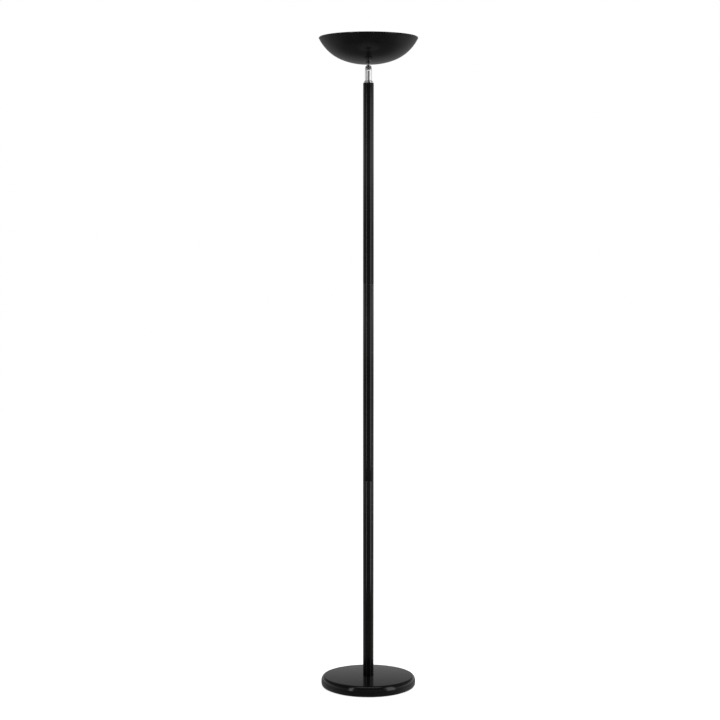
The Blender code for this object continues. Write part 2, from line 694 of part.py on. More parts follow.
def holder_bracket(finishes):
    """Bent steel strip on the stud that carries the two lamp holders."""
    half = BRACKET_THICKNESS / 2
    shelf_end = SOCKET_BACK + BRACKET_SHELF_PAST_SOCKET
    right = [
        (BRACKET_FLAT, BRACKET_BASE + half),
        (BRACKET_RISE_END, SHELF_TOP - half),
        (shelf_end, SHELF_TOP - half),
    ]
    left = [(-x, z) for x, z in reversed(right)]
    bracket = sheet("holder_bracket", left + right, BRACKET_HALF_WIDTH, BRACKET_THICKNESS, finishes["zinc"])
    holes = [rod("bracket_hole", STUD_RADIUS + THREAD_GAP, BRACKET_BASE - GAP, BRACKET_TOP + GAP, None)]
    reflector_screw_x = (BRACKET_RISE_END + REFLECTOR_HALF_LENGTH) / 2
    socket_screw_x = (SOCKET_FACE + SOCKET_BACK) / 2
    low = SHELF_TOP - 2 * BRACKET_THICKNESS
    high = SHELF_TOP + BRACKET_THICKNESS
    for side, end in ((1, "right"), (-1, "left")):
        for kind, x, size in (
            ("reflector", reflector_screw_x, REFLECTOR_SCREW[0]),
            ("socket", socket_screw_x, SOCKET_SCREW[0]),
        ):
            hole = rod(f"{kind}_screw_hole_{end}", size + THREAD_GAP, low, high, None)
            hole.location = (side * x, 0, 0)
            holes.append(hole)
    cut(bracket, *holes)
    return [bracket]


def screw(name, shank, head, material):
    """A pan-head screw along Z with its seat at zero and its shank upwards."""
    outline = [
        (0, -head[1]),
        (head[0] * SCREW_CROWN, -head[1]),
        (head[0], -head[1] / 2),
        (head[0], 0),
        (shank[0], 0),
        (shank[0], shank[1]),
        (0, shank[1]),
    ]
    return turned(name, outline, material, SCREW_STEPS)


def socket(finishes, side, end):
    """One ceramic lamp holder along +X or -X: open-topped mouth, contact chamber and spring bore."""
    length, width, height = SOCKET_SIZE
    low = (min(side * SOCKET_FACE, side * SOCKET_BACK), -width / 2, SOCKET_FLOOR)
    high = (max(side * SOCKET_FACE, side * SOCKET_BACK), width / 2, SOCKET_FLOOR + height)
    body = box(f"socket_{end}", low, high, finishes["ceramic"], SOCKET_EDGE)
    mouth_radius = LAMP_CAP_RADIUS + 2 * GAP
    axis = (0, 0, LAMP_AXIS)
    mouth = rod(f"mouth_{end}", mouth_radius, SOCKET_FACE - mouth_radius, CHAMBER_START + GAP, None)
    chamber = rod(f"chamber_{end}", SOCKET_CHAMBER_RADIUS, CHAMBER_START, CHAMBER_END, None)
    spring_bore = rod(f"spring_bore_{end}", SOCKET_SPRING_BORE, CHAMBER_START, SPRING_BORE_END, None)
    for part in (mouth, chamber, spring_bore):
        turn_to_x(part, side, axis)
    inner, outer = side * (SOCKET_FACE - mouth_radius), side * (CHAMBER_START - GAP)
    opening = box(
        f"mouth_slot_{end}",
        (min(inner, outer), -mouth_radius, LAMP_AXIS),
        (max(inner, outer), mouth_radius, SOCKET_FLOOR + 2 * height),
        None,
    )
    screw_x = side * (SOCKET_FACE + SOCKET_BACK) / 2
    screw_hole = rod(
        f"socket_thread_{end}",
        SOCKET_SCREW[0] + THREAD_GAP,
        SOCKET_FLOOR - GAP,
        SOCKET_FLOOR + SOCKET_SCREW[1],
        None,
    )
    screw_hole.location = (screw_x, 0, 0)
    cut(body, mouth, opening, chamber, spring_bore, screw_hole)
    fixing = screw(f"socket_screw_{end}", SOCKET_SCREW, SOCKET_SCREW_HEAD, finishes["zinc"])
    fixing.location = (screw_x, 0, SHELF_TOP - BRACKET_THICKNESS - GAP)
    return [body, fixing]


def contact(finishes, side, end):
    """Sprung contact plunger and its spring, along the lamp's axis."""
    tip, collar, tail = CONTACT_TIP, CONTACT_COLLAR, CONTACT_TAIL
    outline = [(0, 0), (tip[0] * CONTACT_NOSE, 0), (tip[0], tip[0] * (1 - CONTACT_NOSE)), (tip[0], tip[1])]
    outline += [(collar[0], tip[1]), (collar[0], tip[1] + collar[1])]
    outline += [(tail[0], tip[1] + collar[1]), (tail[0], tip[1] + collar[1] + tail[1])]
    outline += [(0, tip[1] + collar[1] + tail[1])]
    plunger = turned(f"contact_pin_{end}", outline, finishes["brass"])
    turn_to_x(plunger, side, (side * CONTACT_START, 0, LAMP_AXIS))
    start = COLLAR_START + collar[1] + GAP + SPRING_WIRE
    stop = SPRING_BORE_END - GAP - SPRING_WIRE
    count = SPRING_TURNS * SPRING_POINTS
    points = []
    for i in range(count + 1):
        angle = math.tau * i / SPRING_POINTS
        x = side * (start + (stop - start) * i / count)
        y = SPRING_RADIUS * math.cos(angle)
        points.append(Vector((x, y, LAMP_AXIS + SPRING_RADIUS * math.sin(angle))))
    spring = lead(f"contact_spring_{end}", points, SPRING_WIRE, finishes["zinc"], sides=1)
    return plunger, spring


def halogen_lamp(finishes):
    """Double-ended tube along X: quartz sleeve, filament and two ceramic ends."""
    radius, wall = LAMP_TUBE_RADIUS, LAMP_TUBE_WALL
    pinch, neck_length = LAMP_PINCH
    body = LAMP_TUBE_HALF - neck_length - radius / 2
    outline = [(pinch - wall, -LAMP_TUBE_HALF), (pinch, -LAMP_TUBE_HALF), (pinch, -LAMP_TUBE_HALF + neck_length)]
    outline += [(radius, -body), (radius, body)]
    outline += [(pinch, LAMP_TUBE_HALF - neck_length), (pinch, LAMP_TUBE_HALF), (pinch - wall, LAMP_TUBE_HALF)]
    outline += [(pinch - wall, LAMP_TUBE_HALF - neck_length), (radius - wall, body)]
    outline += [(radius - wall, -body), (pinch - wall, -LAMP_TUBE_HALF + neck_length)]
    axis = (0, 0, LAMP_AXIS)
    sleeve = turned("lamp_tube", outline, finishes["quartz"], 16)
    coil_half = LAMP_TUBE_HALF - GAP
    filament = rod("lamp_filament", FILAMENT_RADIUS, -coil_half, coil_half, finishes["tungsten"], 8)
    pieces = [sleeve, filament]
    for piece in pieces:
        turn_to_x(piece, 1, axis)
    dimple, depth = LAMP_CAP_DIMPLE
    start = LAMP_TUBE_HALF + GAP
    for side, end in ((1, "right"), (-1, "left")):
        outline = [(0, start), (LAMP_CAP_RADIUS, start), (LAMP_CAP_RADIUS, LAMP_END)]
        outline += [(dimple, LAMP_END), (dimple, LAMP_END - depth), (0, LAMP_END - depth)]
        cap = turned(f"lamp_cap_{end}", outline, finishes["ceramic"], 16)
        turn_to_x(cap, side, axis)
        pieces.append(cap)
    return pieces


def reflector_edge():
    """Where the reflector's side ends and its flange begins: distance from the middle, and height."""
    bend = REFLECTOR_BEND
    y = REFLECTOR_HALF_FLAT + bend * math.sin(REFLECTOR_BEND_ANGLE)
    base = SHELF_TOP + GAP + REFLECTOR_THICKNESS / 2
    return y, base + bend * (1 - math.cos(REFLECTOR_BEND_ANGLE))


def reflector(finishes):
    """Bright trough under the lamp, with flanges for the glass, on two screws."""
    base = SHELF_TOP + GAP + REFLECTOR_THICKNESS / 2
    centre = (REFLECTOR_HALF_FLAT, base + REFLECTOR_BEND)
    bend = (REFLECTOR_BEND, REFLECTOR_BEND)
    side = arc(centre, bend, -math.pi / 2, REFLECTOR_BEND_ANGLE - math.pi / 2, 7)
    y, z = side[-1]
    side.append((y + REFLECTOR_FLANGE, z))
    outline = [(-y, z) for y, z in reversed(side)] + side
    trough = sheet(
        "reflector",
        outline,
        REFLECTOR_HALF_LENGTH,
        REFLECTOR_THICKNESS,
        finishes["bright_aluminium"],
        along="X",
    )
    pieces = [trough]
    screw_x = (BRACKET_RISE_END + REFLECTOR_HALF_LENGTH) / 2
    top = base + REFLECTOR_THICKNESS / 2
    for mark, end in ((1, "right"), (-1, "left")):
        hole = rod(f"trough_hole_{end}", REFLECTOR_SCREW[0] + THREAD_GAP, base - bend[0] / 8, base + bend[0] / 8, None)
        hole.location = (mark * screw_x, 0, 0)
        cut(trough, hole)
        fixing = screw(f"reflector_screw_{end}", REFLECTOR_SCREW, REFLECTOR_SCREW_HEAD, finishes["zinc"])
        fixing.rotation_euler = (math.pi, 0, 0)
        fixing.location = (mark * screw_x, 0, top + GAP)
        pieces.append(fixing)
    return pieces


def protective_glass(finishes):
    """Toughened pane over the reflector and the two spring clips that hold it."""
    edge_y, edge_z = reflector_edge()
    bottom = edge_z + REFLECTOR_THICKNESS / 2 + GAP
    top = bottom + GLASS_THICKNESS
    half_x = REFLECTOR_HALF_LENGTH
    half_y = edge_y + REFLECTOR_FLANGE
    bm = bmesh.new()
    bmesh.ops.create_cube(bm, size=1)
    bmesh.ops.scale(bm, verts=bm.verts, vec=(2 * half_x, 2 * half_y, GLASS_THICKNESS))
    bmesh.ops.translate(bm, verts=bm.verts, vec=(0, 0, (bottom + top) / 2))
    upright = [edge for edge in bm.edges if abs(edge.verts[0].co.z - edge.verts[1].co.z) > GLASS_THICKNESS / 2]
    bmesh.ops.bevel(
        bm, geom=upright, offset=GLASS_CORNER, affect="EDGES", segments=3, profile=0.5, material=-1
    )
    pieces = [solid("protective_glass", bm, finishes["quartz"])]
    half = CLIP_THICKNESS / 2
    low = edge_z - REFLECTOR_THICKNESS / 2 - GAP - half
    high = top + GAP + half
    outer = half_y + GAP + half
    for side, end in ((-1, "front"), (1, "rear")):
        outline = [
            (side * (outer - CLIP_GRIP / 2), low),
            (side * outer, low),
            (side * outer, high),
            (side * (outer - CLIP_GRIP), high),
        ]
        pieces.append(
            sheet(
                f"glass_clip_{end}", outline, CLIP_HALF_WIDTH, CLIP_THICKNESS, finishes["zinc"], along="X"
            )
        )
    return pieces


def wiring(finishes):
    """Terminal block on the bracket, the lead up to it and a wire to the back of each holder."""
    length, width, height = TERMINAL_SIZE
    base = BRACKET_TOP + GAP
    near, far = TERMINAL_PLACE, TERMINAL_PLACE + length
    block = box(
        "terminal_block",
        (near, -width / 2, base),
        (far, width / 2, base + height),
        finishes["ceramic"],
        SOCKET_EDGE / 2,
    )
    level = base + height / 2
    for side, end in ((1, "rear"), (-1, "front")):
        bore = rod(f"terminal_bore_{end}", TERMINAL_BORE, near - length, far + length, None, 12)
        turn_to_x(bore, 1, (0, side * TERMINAL_PITCH / 2, level))
        cut(block, bore)
    crest = STUD_TOP + 2 * SHADE_LEAD_RADIUS
    stops = [
        (0, 0, PIVOT_HEIGHT + TILT_SCREW_RADIUS + 2 * THREAD_GAP),
        (0, 0, STUD_TOP - SHADE_LEAD_RADIUS),
        (near * 0.18, 0, crest),
        (near * 0.45, 0, crest + SHADE_LEAD_RADIUS / 2),
        (near * 0.80, 0, level + SHADE_LEAD_RADIUS / 5),
        (near * 0.93, 0, level),
        (near - GAP, 0, level),
    ]
    pieces = [block, lead("shade_lead", smooth_route(stops, 4), SHADE_LEAD_RADIUS, finishes["lead_sheath"])]
    back = SOCKET_BACK + GAP
    low = SOCKET_FLOOR - WIRE_RADIUS
    entry = LAMP_AXIS - WIRE_ENTRY
    step = 2 * WIRE_RADIUS
    for side, end, mark in ((1, "right", -1), (-1, "left", 1)):
        pitch = mark * TERMINAL_PITCH / 2
        beside = mark * WIRE_SIDE
        stops = [(far + GAP, pitch, level), (far + step, pitch * 1.2, level), (far + 2 * step, beside * 0.75, level)]
        if side > 0:
            stops += [(far + 4 * step, beside, level)]
        else:
            stops += [(far + step, beside, level), (near, beside, level), (-near, beside, level)]
        stops += [
            (side * REFLECTOR_HALF_LENGTH, beside, (level + low) / 2),
            (side * (SOCKET_FACE + SOCKET_BACK) / 2, beside, low),
            (side * SOCKET_BACK, beside * 0.9, low + step),
            (side * (back + 2 * step), beside * 0.6, entry - step),
            (side * (back + 2 * step), beside * 0.2, entry),
            (side * (back + step), 0, entry),
            (side * back, 0, entry),
        ]
        pieces.append(lead(f"socket_wire_{end}", smooth_route(stops, 4), WIRE_RADIUS, finishes["wire_sleeve"], 1))
    return pieces


def build():
    clear_scene()
    finishes = make_finishes()
    base_cover(finishes)
    base_weight(finishes)
    felt_pad(finishes)
    cord_inlet(finishes)
    tie_rod(finishes)
    pole(finishes)
    pole_lead(finishes)
    neck(finishes)
    tilt_screw(finishes)

    tilt_axis = empty("tilt_axis", (0, 0, PIVOT_HEIGHT))
    moving = shade_tongue(finishes)
    moving += shade_bowl(finishes)
    moving += shade_fixings(finishes)
    moving += holder_bracket(finishes)
    moving += halogen_lamp(finishes)
    moving += reflector(finishes)
    moving += protective_glass(finishes)
    moving += wiring(finishes)
    for side, end in ((1, "right"), (-1, "left")):
        moving += socket(finishes, side, end)
        moving += contact(finishes, side, end)
    hang(moving, tilt_axis)


build()
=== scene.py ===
"""The looks of the torchiere floor lamp: glossy black paint, a chrome knuckle and a bowl with a halogen tube.

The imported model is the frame. The pieces that show are modelled again here with finer curves, rolled and
broken edges and their own finishes, in the places that the frame gives.
"""

import math

import bmesh
import bpy
from mathutils import Matrix, Vector


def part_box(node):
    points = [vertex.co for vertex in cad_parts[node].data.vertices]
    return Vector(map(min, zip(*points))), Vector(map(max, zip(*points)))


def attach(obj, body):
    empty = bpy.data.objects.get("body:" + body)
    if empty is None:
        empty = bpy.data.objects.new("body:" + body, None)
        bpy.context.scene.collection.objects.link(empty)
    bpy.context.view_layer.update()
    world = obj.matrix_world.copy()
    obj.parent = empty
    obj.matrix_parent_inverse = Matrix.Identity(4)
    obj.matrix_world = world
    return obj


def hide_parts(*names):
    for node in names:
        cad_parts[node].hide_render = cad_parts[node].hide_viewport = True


# Camera and studio
CAMERA_DISTANCE = 4.770
CAMERA_HEIGHT = 1.234
CAMERA_DOWN = math.radians(3.81)
CAMERA_LEFT = math.radians(0.278)
LENS_MM = 86.4
FLOOR_HALF = 8.0
FLOOR_GLOW = 0.92
LIGHT_REACH = 3.2  # softboxes to the pole
LIGHT_LOW = -0.45
LIGHT_TALL = 3.1
SOFTBOXES = (("softbox_left", -42, 0.50, 1.8), ("softbox_right", 56, 1.20, 1.5))  # azimuth, width, glow
PANEL_HEIGHT = 3.3
OVERHEAD_BACK = 0.5
OVERHEAD_SIZE = (2.4, 1.6)
OVERHEAD_GLOW = 2.1
FRONT_PANEL_BACK = -1.6
FRONT_PANEL_TURN = math.radians(26)
FRONT_PANEL_SIZE = (3.0, 0.9)
FRONT_PANEL_GLOW = 1.2
SENSOR_MM = 36
WHITE = (1.0, 1.0, 1.0, 1.0)
# Brightness of the surroundings from front to back, and its shares from left to right and from below to above
AROUND = ((0.0, 0.14), (0.15, 0.17), (0.42, 0.40), (0.60, 0.60), (0.85, 0.58), (1.0, 0.42))
LEFT_TO_RIGHT = ((0.0, 0.85), (1.0, 1.15))
BELOW_TO_ABOVE = (
    (0.0, 0.45),
    (0.03, 0.14),
    (0.10, 0.20),
    (0.21, 0.45),
    (0.36, 0.55),
    (0.47, 0.45),
    (0.52, 0.95),
    (0.545, 1.45),
    (0.57, 1.10),
    (0.625, 0.62),
    (0.71, 0.20),
    (1.0, 0.20),
)

# Base and pole
BASE_SHOULDER = (0.009, 0.0145)
BASE_FOOT = 0.0105
BASE_SHEET = 0.0015
INLET_BORE = 0.0032
INLET_NECK = 0.0045
INLET_LIP = 0.0018
TUBE_WALL = 0.0012
TUBE_LIP = 0.0003
CAP_EDGE = 0.0011
THREAD_ROOM = 0.0003
THREAD_RADIUS = 0.005  # neck's lower end and the bowl's stud
THREAD_BORE = THREAD_RADIUS + THREAD_ROOM

# Bowl
BOWL_SHEET = 0.0012
BOWL_SEAT = 0.010
BOWL_CROWN = 0.170
BOWL_CROWN_SLOPE = math.radians(22)
BOWL_BEAD = 0.0022
BOWL_BEAD_START = math.radians(-45)
BOWL_BEAD_END = math.radians(225)
BOWL_HEM_SLOPE = math.radians(3)
LINING_EDGE = 0.8  # share of the bead that stays black
LINING_RISE = 0.05  # least upward slope of a white face

# Knuckle
PIVOT_DROP = 0.0095  # bowl's underside to the tilt screw
KNUCKLE_RADIUS = 0.008
KNUCKLE_FLARE = 0.009
NECK_BORE = 0.0032
NECK_CHAMFER = 0.0008
SLOT_HALF = 0.0045
SLOT_DROP = 0.0089
SCREW_SHANK = 0.002
SCREW_TIP_SHARE = 0.8
SEAT_REACH = 0.0066
KEY_SHARE = 0.5
GROOVE_HALF = 0.0004
TONGUE_HALF = 0.0034
TONGUE_NECK_HALF = 0.0062
TONGUE_WALL = 0.0014
STUD_ROOT = 0.0008
LEAD_WAY = 0.0026

# Fixings and bracket
NUT_CHAMFER = 0.13  # shares of half the width across the flats
NUT_FACE = 0.88
NUT_REACH = 1.02
PAN_HEAD_UP = (0.0015, 0.0015)  # head height and shank radius
PAN_HEAD_DOWN = (0.0018, 0.0017)
PAN_TIP = 0.6  # share of the shank
PAN_STRAIGHT = 0.25  # shares of the head height
PAN_CROWN = 0.75
RECESS_WIDE = 0.55
RECESS_THIN = 0.13
RECESS_DEEP = 0.5
BRACKET_SHEET = 0.0015
BRACKET_FLAT = 0.034
BRACKET_RISE = 0.044
BRACKET_BEND = 0.004

# Lamp holders, lamp and contacts
HOLDER_EDGE = 0.0016
HOLDER_MOUTH = 0.0045
MOUTH_PAST_PIN = 0.0038
CHAMBER_PAST_PIN = 0.0037
CHAMBER_RADIUS = 0.0052
CHAMBER_LENGTH = 0.0051
SPRING_BORE = 0.0032
HOLDER_END_WALL = 0.0022
FIN_START = 0.5
FIN_PITCH = 0.15
FIN_HALF = 0.0006
FIN_REACH = 0.01
FIN_DEPTH = 0.0025
FIN_ABOVE = 0.002
QUARTZ_WALL = 0.0010
PINCH_RADIUS = 0.0036
PINCH_LENGTH = 0.003
COIL_SHARE = 0.92
COIL_TURNS = 60
COIL_STEPS = 8
COIL_RADIUS = 0.0006
FILAMENT_RADIUS = 0.00018
FILAMENT_INSET = 0.0005
LAMP_END_EDGE = 0.0004
LAMP_CONTACT = (0.0026, 0.0022, 0.0008)  # outer and inner radius, depth
PIN_TIP = 0.0022
PIN_NOSE_SHARE = 0.8
PIN_COLLAR = (0.004, 0.0055)
PIN_TAIL = 0.0013

# Reflector, glass and wiring
TROUGH_SHEET = 0.0008
TROUGH_FLAT = 0.009
TROUGH_BEND = 0.032
TROUGH_TURN = math.radians(75)
TROUGH_FLANGE = 0.005
TROUGH_LIP = 0.0012
PANE_CORNER = 0.006
PANE_EDGE = 0.0005
CLIP_SHEET = 0.0006
CLIP_GRIP = 0.006
CLIP_BEND = 0.0008
TERMINAL_PITCH = 0.005
TERMINAL_EDGE = 0.0008
WIRE_WAY = 0.0015
WIRE_WAY_SPAN = (-0.02, 0.06)
WELL_RADIUS = 0.0028
WELL_DEPTH = 0.003

# Broken edges
EDGE_SCREW = 0.00008
EDGE_NUT = 0.00015
EDGE_SHEET = 0.0002
EDGE_FORK = 0.00025
EDGE_CERAMIC = 0.0003

MERGE = 1e-6

BIG_ROUND = 144
TUBE_ROUND = 64
SMALL_ROUND = 40


# Finishes


def surface(name, colour, roughness, metallic=0.0):
    """A Principled material."""
    material = bpy.data.materials.new(name)
    material.use_nodes = True
    shader = material.node_tree.nodes["Principled BSDF"]
    shader.inputs["Base Color"].default_value = (*colour, 1.0)
    shader.inputs["Roughness"].default_value = roughness
    shader.inputs["Metallic"].default_value = metallic
    return material


def shader_of(material):
    return material.node_tree.nodes["Principled BSDF"]


def place_of(material, stretch=(1.0, 1.0, 1.0)):
    """Object coordinates, stretched by a Mapping node."""
    nodes, links = material.node_tree.nodes, material.node_tree.links
    coordinates = nodes.new("ShaderNodeTexCoord")
    mapping = nodes.new("ShaderNodeMapping")
    mapping.inputs["Scale"].default_value = stretch
    links.new(coordinates.outputs["Object"], mapping.inputs["Vector"])
    return mapping.outputs["Vector"]


def noise(material, scale, detail=2.0, stretch=(1.0, 1.0, 1.0)):
    nodes, links = material.node_tree.nodes, material.node_tree.links
    texture = nodes.new("ShaderNodeTexNoise")
    texture.inputs["Scale"].default_value = scale
    texture.inputs["Detail"].default_value = detail
    links.new(place_of(material, stretch), texture.inputs["Vector"])
    return texture.outputs["Fac"]


def cells(material, scale, feature="F1", stretch=(1.0, 1.0, 1.0)):
    nodes, links = material.node_tree.nodes, material.node_tree.links
    texture = nodes.new("ShaderNodeTexVoronoi")
    texture.feature = feature
    texture.inputs["Scale"].default_value = scale
    links.new(place_of(material, stretch), texture.inputs["Vector"])
    return texture.outputs["Distance"]


def rings(material, scale, direction):
    nodes, links = material.node_tree.nodes, material.node_tree.links
    texture = nodes.new("ShaderNodeTexWave")
    texture.wave_type = "BANDS"
    texture.bands_direction = direction
    texture.inputs["Scale"].default_value = scale
    texture.inputs["Distortion"].default_value = 0.6
    links.new(place_of(material), texture.inputs["Vector"])
    return texture.outputs["Fac"]


def ranged(material, source, low, high, start=0.3, stop=0.7):
    """The source's middle span mapped onto low to high."""
    nodes, links = material.node_tree.nodes, material.node_tree.links
    span = nodes.new("ShaderNodeMapRange")
    span.inputs["From Min"].default_value = start
    span.inputs["From Max"].default_value = stop
    span.inputs["To Min"].default_value = low
    span.inputs["To Max"].default_value = high
    links.new(source, span.inputs["Value"])
    return span.outputs["Result"]


def vary_roughness(material, source, low, high):
    material.node_tree.links.new(
        ranged(material, source, low, high), shader_of(material).inputs["Roughness"]
    )


def vary_colour(material, source, dark, light, start=0.3, stop=0.7):
    nodes, links = material.node_tree.nodes, material.node_tree.links
    mix = nodes.new("ShaderNodeMix")
    mix.data_type = "RGBA"
    mix.inputs["A"].default_value = (*dark, 1.0)
    mix.inputs["B"].default_value = (*light, 1.0)
    links.new(ranged(material, source, 0.0, 1.0, start, stop), mix.inputs["Factor"])
    links.new(mix.outputs["Result"], shader_of(material).inputs["Base Color"])


def relief(material, source, depth, strength=1.0):
    """A bump of that depth in metres, on top of any the material has."""
    nodes, links = material.node_tree.nodes, material.node_tree.links
    bump = nodes.new("ShaderNodeBump")
    bump.inputs["Strength"].default_value = strength
    bump.inputs["Distance"].default_value = depth
    links.new(source, bump.inputs["Height"])
    normal = shader_of(material).inputs["Normal"]
    if normal.links:
        links.new(normal.links[0].from_socket, bump.inputs["Normal"])
    links.new(bump.outputs["Normal"], normal)


def black_paint():
    """Gloss enamel: faint orange peel, slight haze and a trace of dust."""
    paint = surface("black_paint", (0.004, 0.0042, 0.004), 0.14)
    vary_colour(paint, noise(paint, 38, 5), (0.0032, 0.0034, 0.0032), (0.0052, 0.0054, 0.0050))
    vary_roughness(paint, noise(paint, 24, 4), 0.11, 0.18)
    relief(paint, noise(paint, 520, 2), 0.000010)
    relief(paint, noise(paint, 45, 1), 0.000060)
    return paint


def white_enamel():
    """Satin white lining of the bowl."""
    enamel = surface("white_enamel", (0.80, 0.79, 0.76), 0.4)
    vary_colour(enamel, noise(enamel, 30, 4), (0.76, 0.75, 0.715), (0.82, 0.81, 0.785))
    vary_roughness(enamel, noise(enamel, 60, 3), 0.33, 0.46)
    relief(enamel, noise(enamel, 480, 2), 0.000012)
    return enamel


def chrome_plate():
    plate = surface("chrome_plate", (0.82, 0.82, 0.83), 0.06, 1.0)
    vary_roughness(plate, noise(plate, 120, 4), 0.04, 0.11)
    relief(plate, noise(plate, 260, 2), 0.000004)
    return plate


def zinc_plate():
    plate = surface("zinc_plate", (0.56, 0.56, 0.57), 0.36, 1.0)
    vary_colour(plate, noise(plate, 180, 4), (0.50, 0.50, 0.50), (0.62, 0.62, 0.64))
    vary_roughness(plate, noise(plate, 240, 3), 0.28, 0.46)
    relief(plate, noise(plate, 1400, 2), 0.000012)
    return plate


def bright_reflector():
    """Anodised aluminium with a hammered pattern."""
    sheet = surface("bright_reflector", (0.86, 0.86, 0.86), 0.18, 1.0)
    vary_roughness(sheet, noise(sheet, 300, 3), 0.14, 0.24)
    relief(sheet, cells(sheet, 380, "SMOOTH_F1"), 0.00030, 0.8)
    return sheet


def ceramic_body():
    body = surface("ceramic_body", (0.83, 0.81, 0.76), 0.5)
    vary_colour(body, noise(body, 700, 4), (0.77, 0.75, 0.69), (0.86, 0.84, 0.79))
    vary_roughness(body, noise(body, 400, 2), 0.42, 0.60)
    relief(body, noise(body, 1600, 3), 0.000030)
    return body


def clear_glass(name, colour, alpha):
    glass = surface(name, colour, 0.03)
    shader = shader_of(glass)
    shader.inputs["Alpha"].default_value = alpha
    shader.inputs["IOR"].default_value = 1.5
    vary_roughness(glass, noise(glass, 90, 3), 0.02, 0.07)
    relief(glass, noise(glass, 60, 1), 0.000010)
    return glass


def felt_cloth():
    felt = surface("felt_cloth", (0.02, 0.02, 0.021), 0.95)
    shader_of(felt).inputs["Sheen Weight"].default_value = 0.4
    vary_colour(felt, noise(felt, 900, 5), (0.012, 0.012, 0.013), (0.05, 0.05, 0.052))
    relief(felt, noise(felt, 1500, 5), 0.00035)
    relief(felt, noise(felt, 260, 3, (1.0, 4.0, 1.0)), 0.00025)
    return felt


def cement_cast():
    cement = surface("cement_cast", (0.42, 0.41, 0.39), 0.9)
    vary_colour(cement, noise(cement, 90, 6), (0.34, 0.33, 0.31), (0.50, 0.49, 0.47))
    relief(cement, cells(cement, 240), 0.0004)
    relief(cement, noise(cement, 700, 4), 0.0002)
    return cement


def moulded_rubber():
    rubber = surface("moulded_rubber", (0.016, 0.016, 0.016), 0.6)
    vary_colour(rubber, noise(rubber, 300, 4), (0.012, 0.012, 0.012), (0.026, 0.026, 0.026))
    vary_roughness(rubber, noise(rubber, 500, 2), 0.52, 0.70)
    relief(rubber, noise(rubber, 1300, 3), 0.00003)
    return rubber


def vinyl_sheath():
    vinyl = surface("vinyl_sheath", (0.02, 0.02, 0.02), 0.45)
    vary_roughness(vinyl, noise(vinyl, 420, 3), 0.38, 0.54)
    relief(vinyl, noise(vinyl, 1100, 2), 0.00002)
    return vinyl


def woven_sleeve():
    """Heat-proof glass braid."""
    sleeve = surface("woven_sleeve", (0.80, 0.79, 0.74), 0.75)
    vary_colour(sleeve, cells(sleeve, 2400), (0.58, 0.56, 0.50), (0.86, 0.85, 0.81), 0.1, 0.6)
    relief(sleeve, cells(sleeve, 2400), 0.00020)
    return sleeve


def turned_brass():
    brass = surface("turned_brass", (0.72, 0.53, 0.24), 0.25, 1.0)
    vary_roughness(brass, noise(brass, 500, 3), 0.20, 0.34)
    relief(brass, rings(brass, 900, "X"), 0.000015)
    return brass


def tungsten_wire():
    wire = surface("tungsten_wire", (0.33, 0.32, 0.31), 0.4, 1.0)
    vary_roughness(wire, noise(wire, 900, 2), 0.32, 0.50)
    return wire


def make_finishes():
    return {
        "black_paint": black_paint(),
        "white_enamel": white_enamel(),
        "chrome": chrome_plate(),
        "zinc": zinc_plate(),
        "bright_aluminium": bright_reflector(),
        "ceramic": ceramic_body(),
        "quartz": clear_glass("quartz_glass", (0.93, 0.95, 0.97), 0.18),
        "pane": clear_glass("toughened_glass", (0.80, 0.90, 0.86), 0.14),
        "felt": felt_cloth(),
        "cement": cement_cast(),
        "rubber": moulded_rubber(),
        "lead_sheath": vinyl_sheath(),
        "wire_sleeve": woven_sleeve(),
        "brass": turned_brass(),
        "tungsten": tungsten_wire(),
    }


# Making shapes


def piece(name, bm, finish, sharp=math.radians(32)):
    """An object from a bmesh, at the origin, shaded smooth with its hard edges kept."""
    bmesh.ops.remove_doubles(bm, verts=bm.verts, dist=MERGE)
    bmesh.ops.recalc_face_normals(bm, faces=bm.faces)
    mesh = bpy.data.meshes.new(name)
    bm.to_mesh(mesh)
    bm.free()
    mesh.shade_smooth()
    mesh.set_sharp_from_angle(angle=sharp)
    obj = bpy.data.objects.new(name, mesh)
    bpy.context.scene.collection.objects.link(obj)
    if finish is not None:
        mesh.materials.append(finish)
    return obj


def arc(centre, radii, start, end, steps):
    """Corners (radius, height) along an elliptical arc."""
    angles = [start + (end - start) * i / steps for i in range(steps + 1)]
    return [(centre[0] + radii[0] * math.cos(t), centre[1] + radii[1] * math.sin(t)) for t in angles]


def turn(outline, steps):
    """A bmesh turned about Z from a closed outline of (radius, height)."""
    bm = bmesh.new()
    corners = [bm.verts.new((radius, 0, height)) for radius, height in outline]
    edges = [bm.edges.new(pair) for pair in zip(corners, corners[1:] + corners[:1])]
    bmesh.ops.spin(
        bm,
        geom=corners + edges,
        cent=(0, 0, 0),
        axis=(0, 0, 1),
        angle=math.tau,
        steps=steps,
        use_merge=True,
    )
    return bm


def along_x(bm, side, place):
    """Lays a bmesh made along Z down along +X or -X, at a place."""
    bmesh.ops.transform(bm, matrix=Matrix.Rotation(side * math.pi / 2, 4, "Y"), verts=bm.verts)
    bmesh.ops.translate(bm, verts=bm.verts, vec=place)
    return bm


def drum(radius, bottom, top, steps=SMALL_ROUND):
    bm = bmesh.new()
    bmesh.ops.create_cone(
        bm, cap_ends=True, segments=steps, radius1=radius, radius2=radius, depth=top - bottom
    )
    bmesh.ops.translate(bm, verts=bm.verts, vec=(0, 0, (top + bottom) / 2))
    return bm


def block(low, high):
    bm = bmesh.new()
    bmesh.ops.create_cube(bm, size=1)
    bmesh.ops.scale(bm, verts=bm.verts, vec=Vector(high) - Vector(low))
    bmesh.ops.translate(bm, verts=bm.verts, vec=(Vector(low) + Vector(high)) / 2)
    return bm


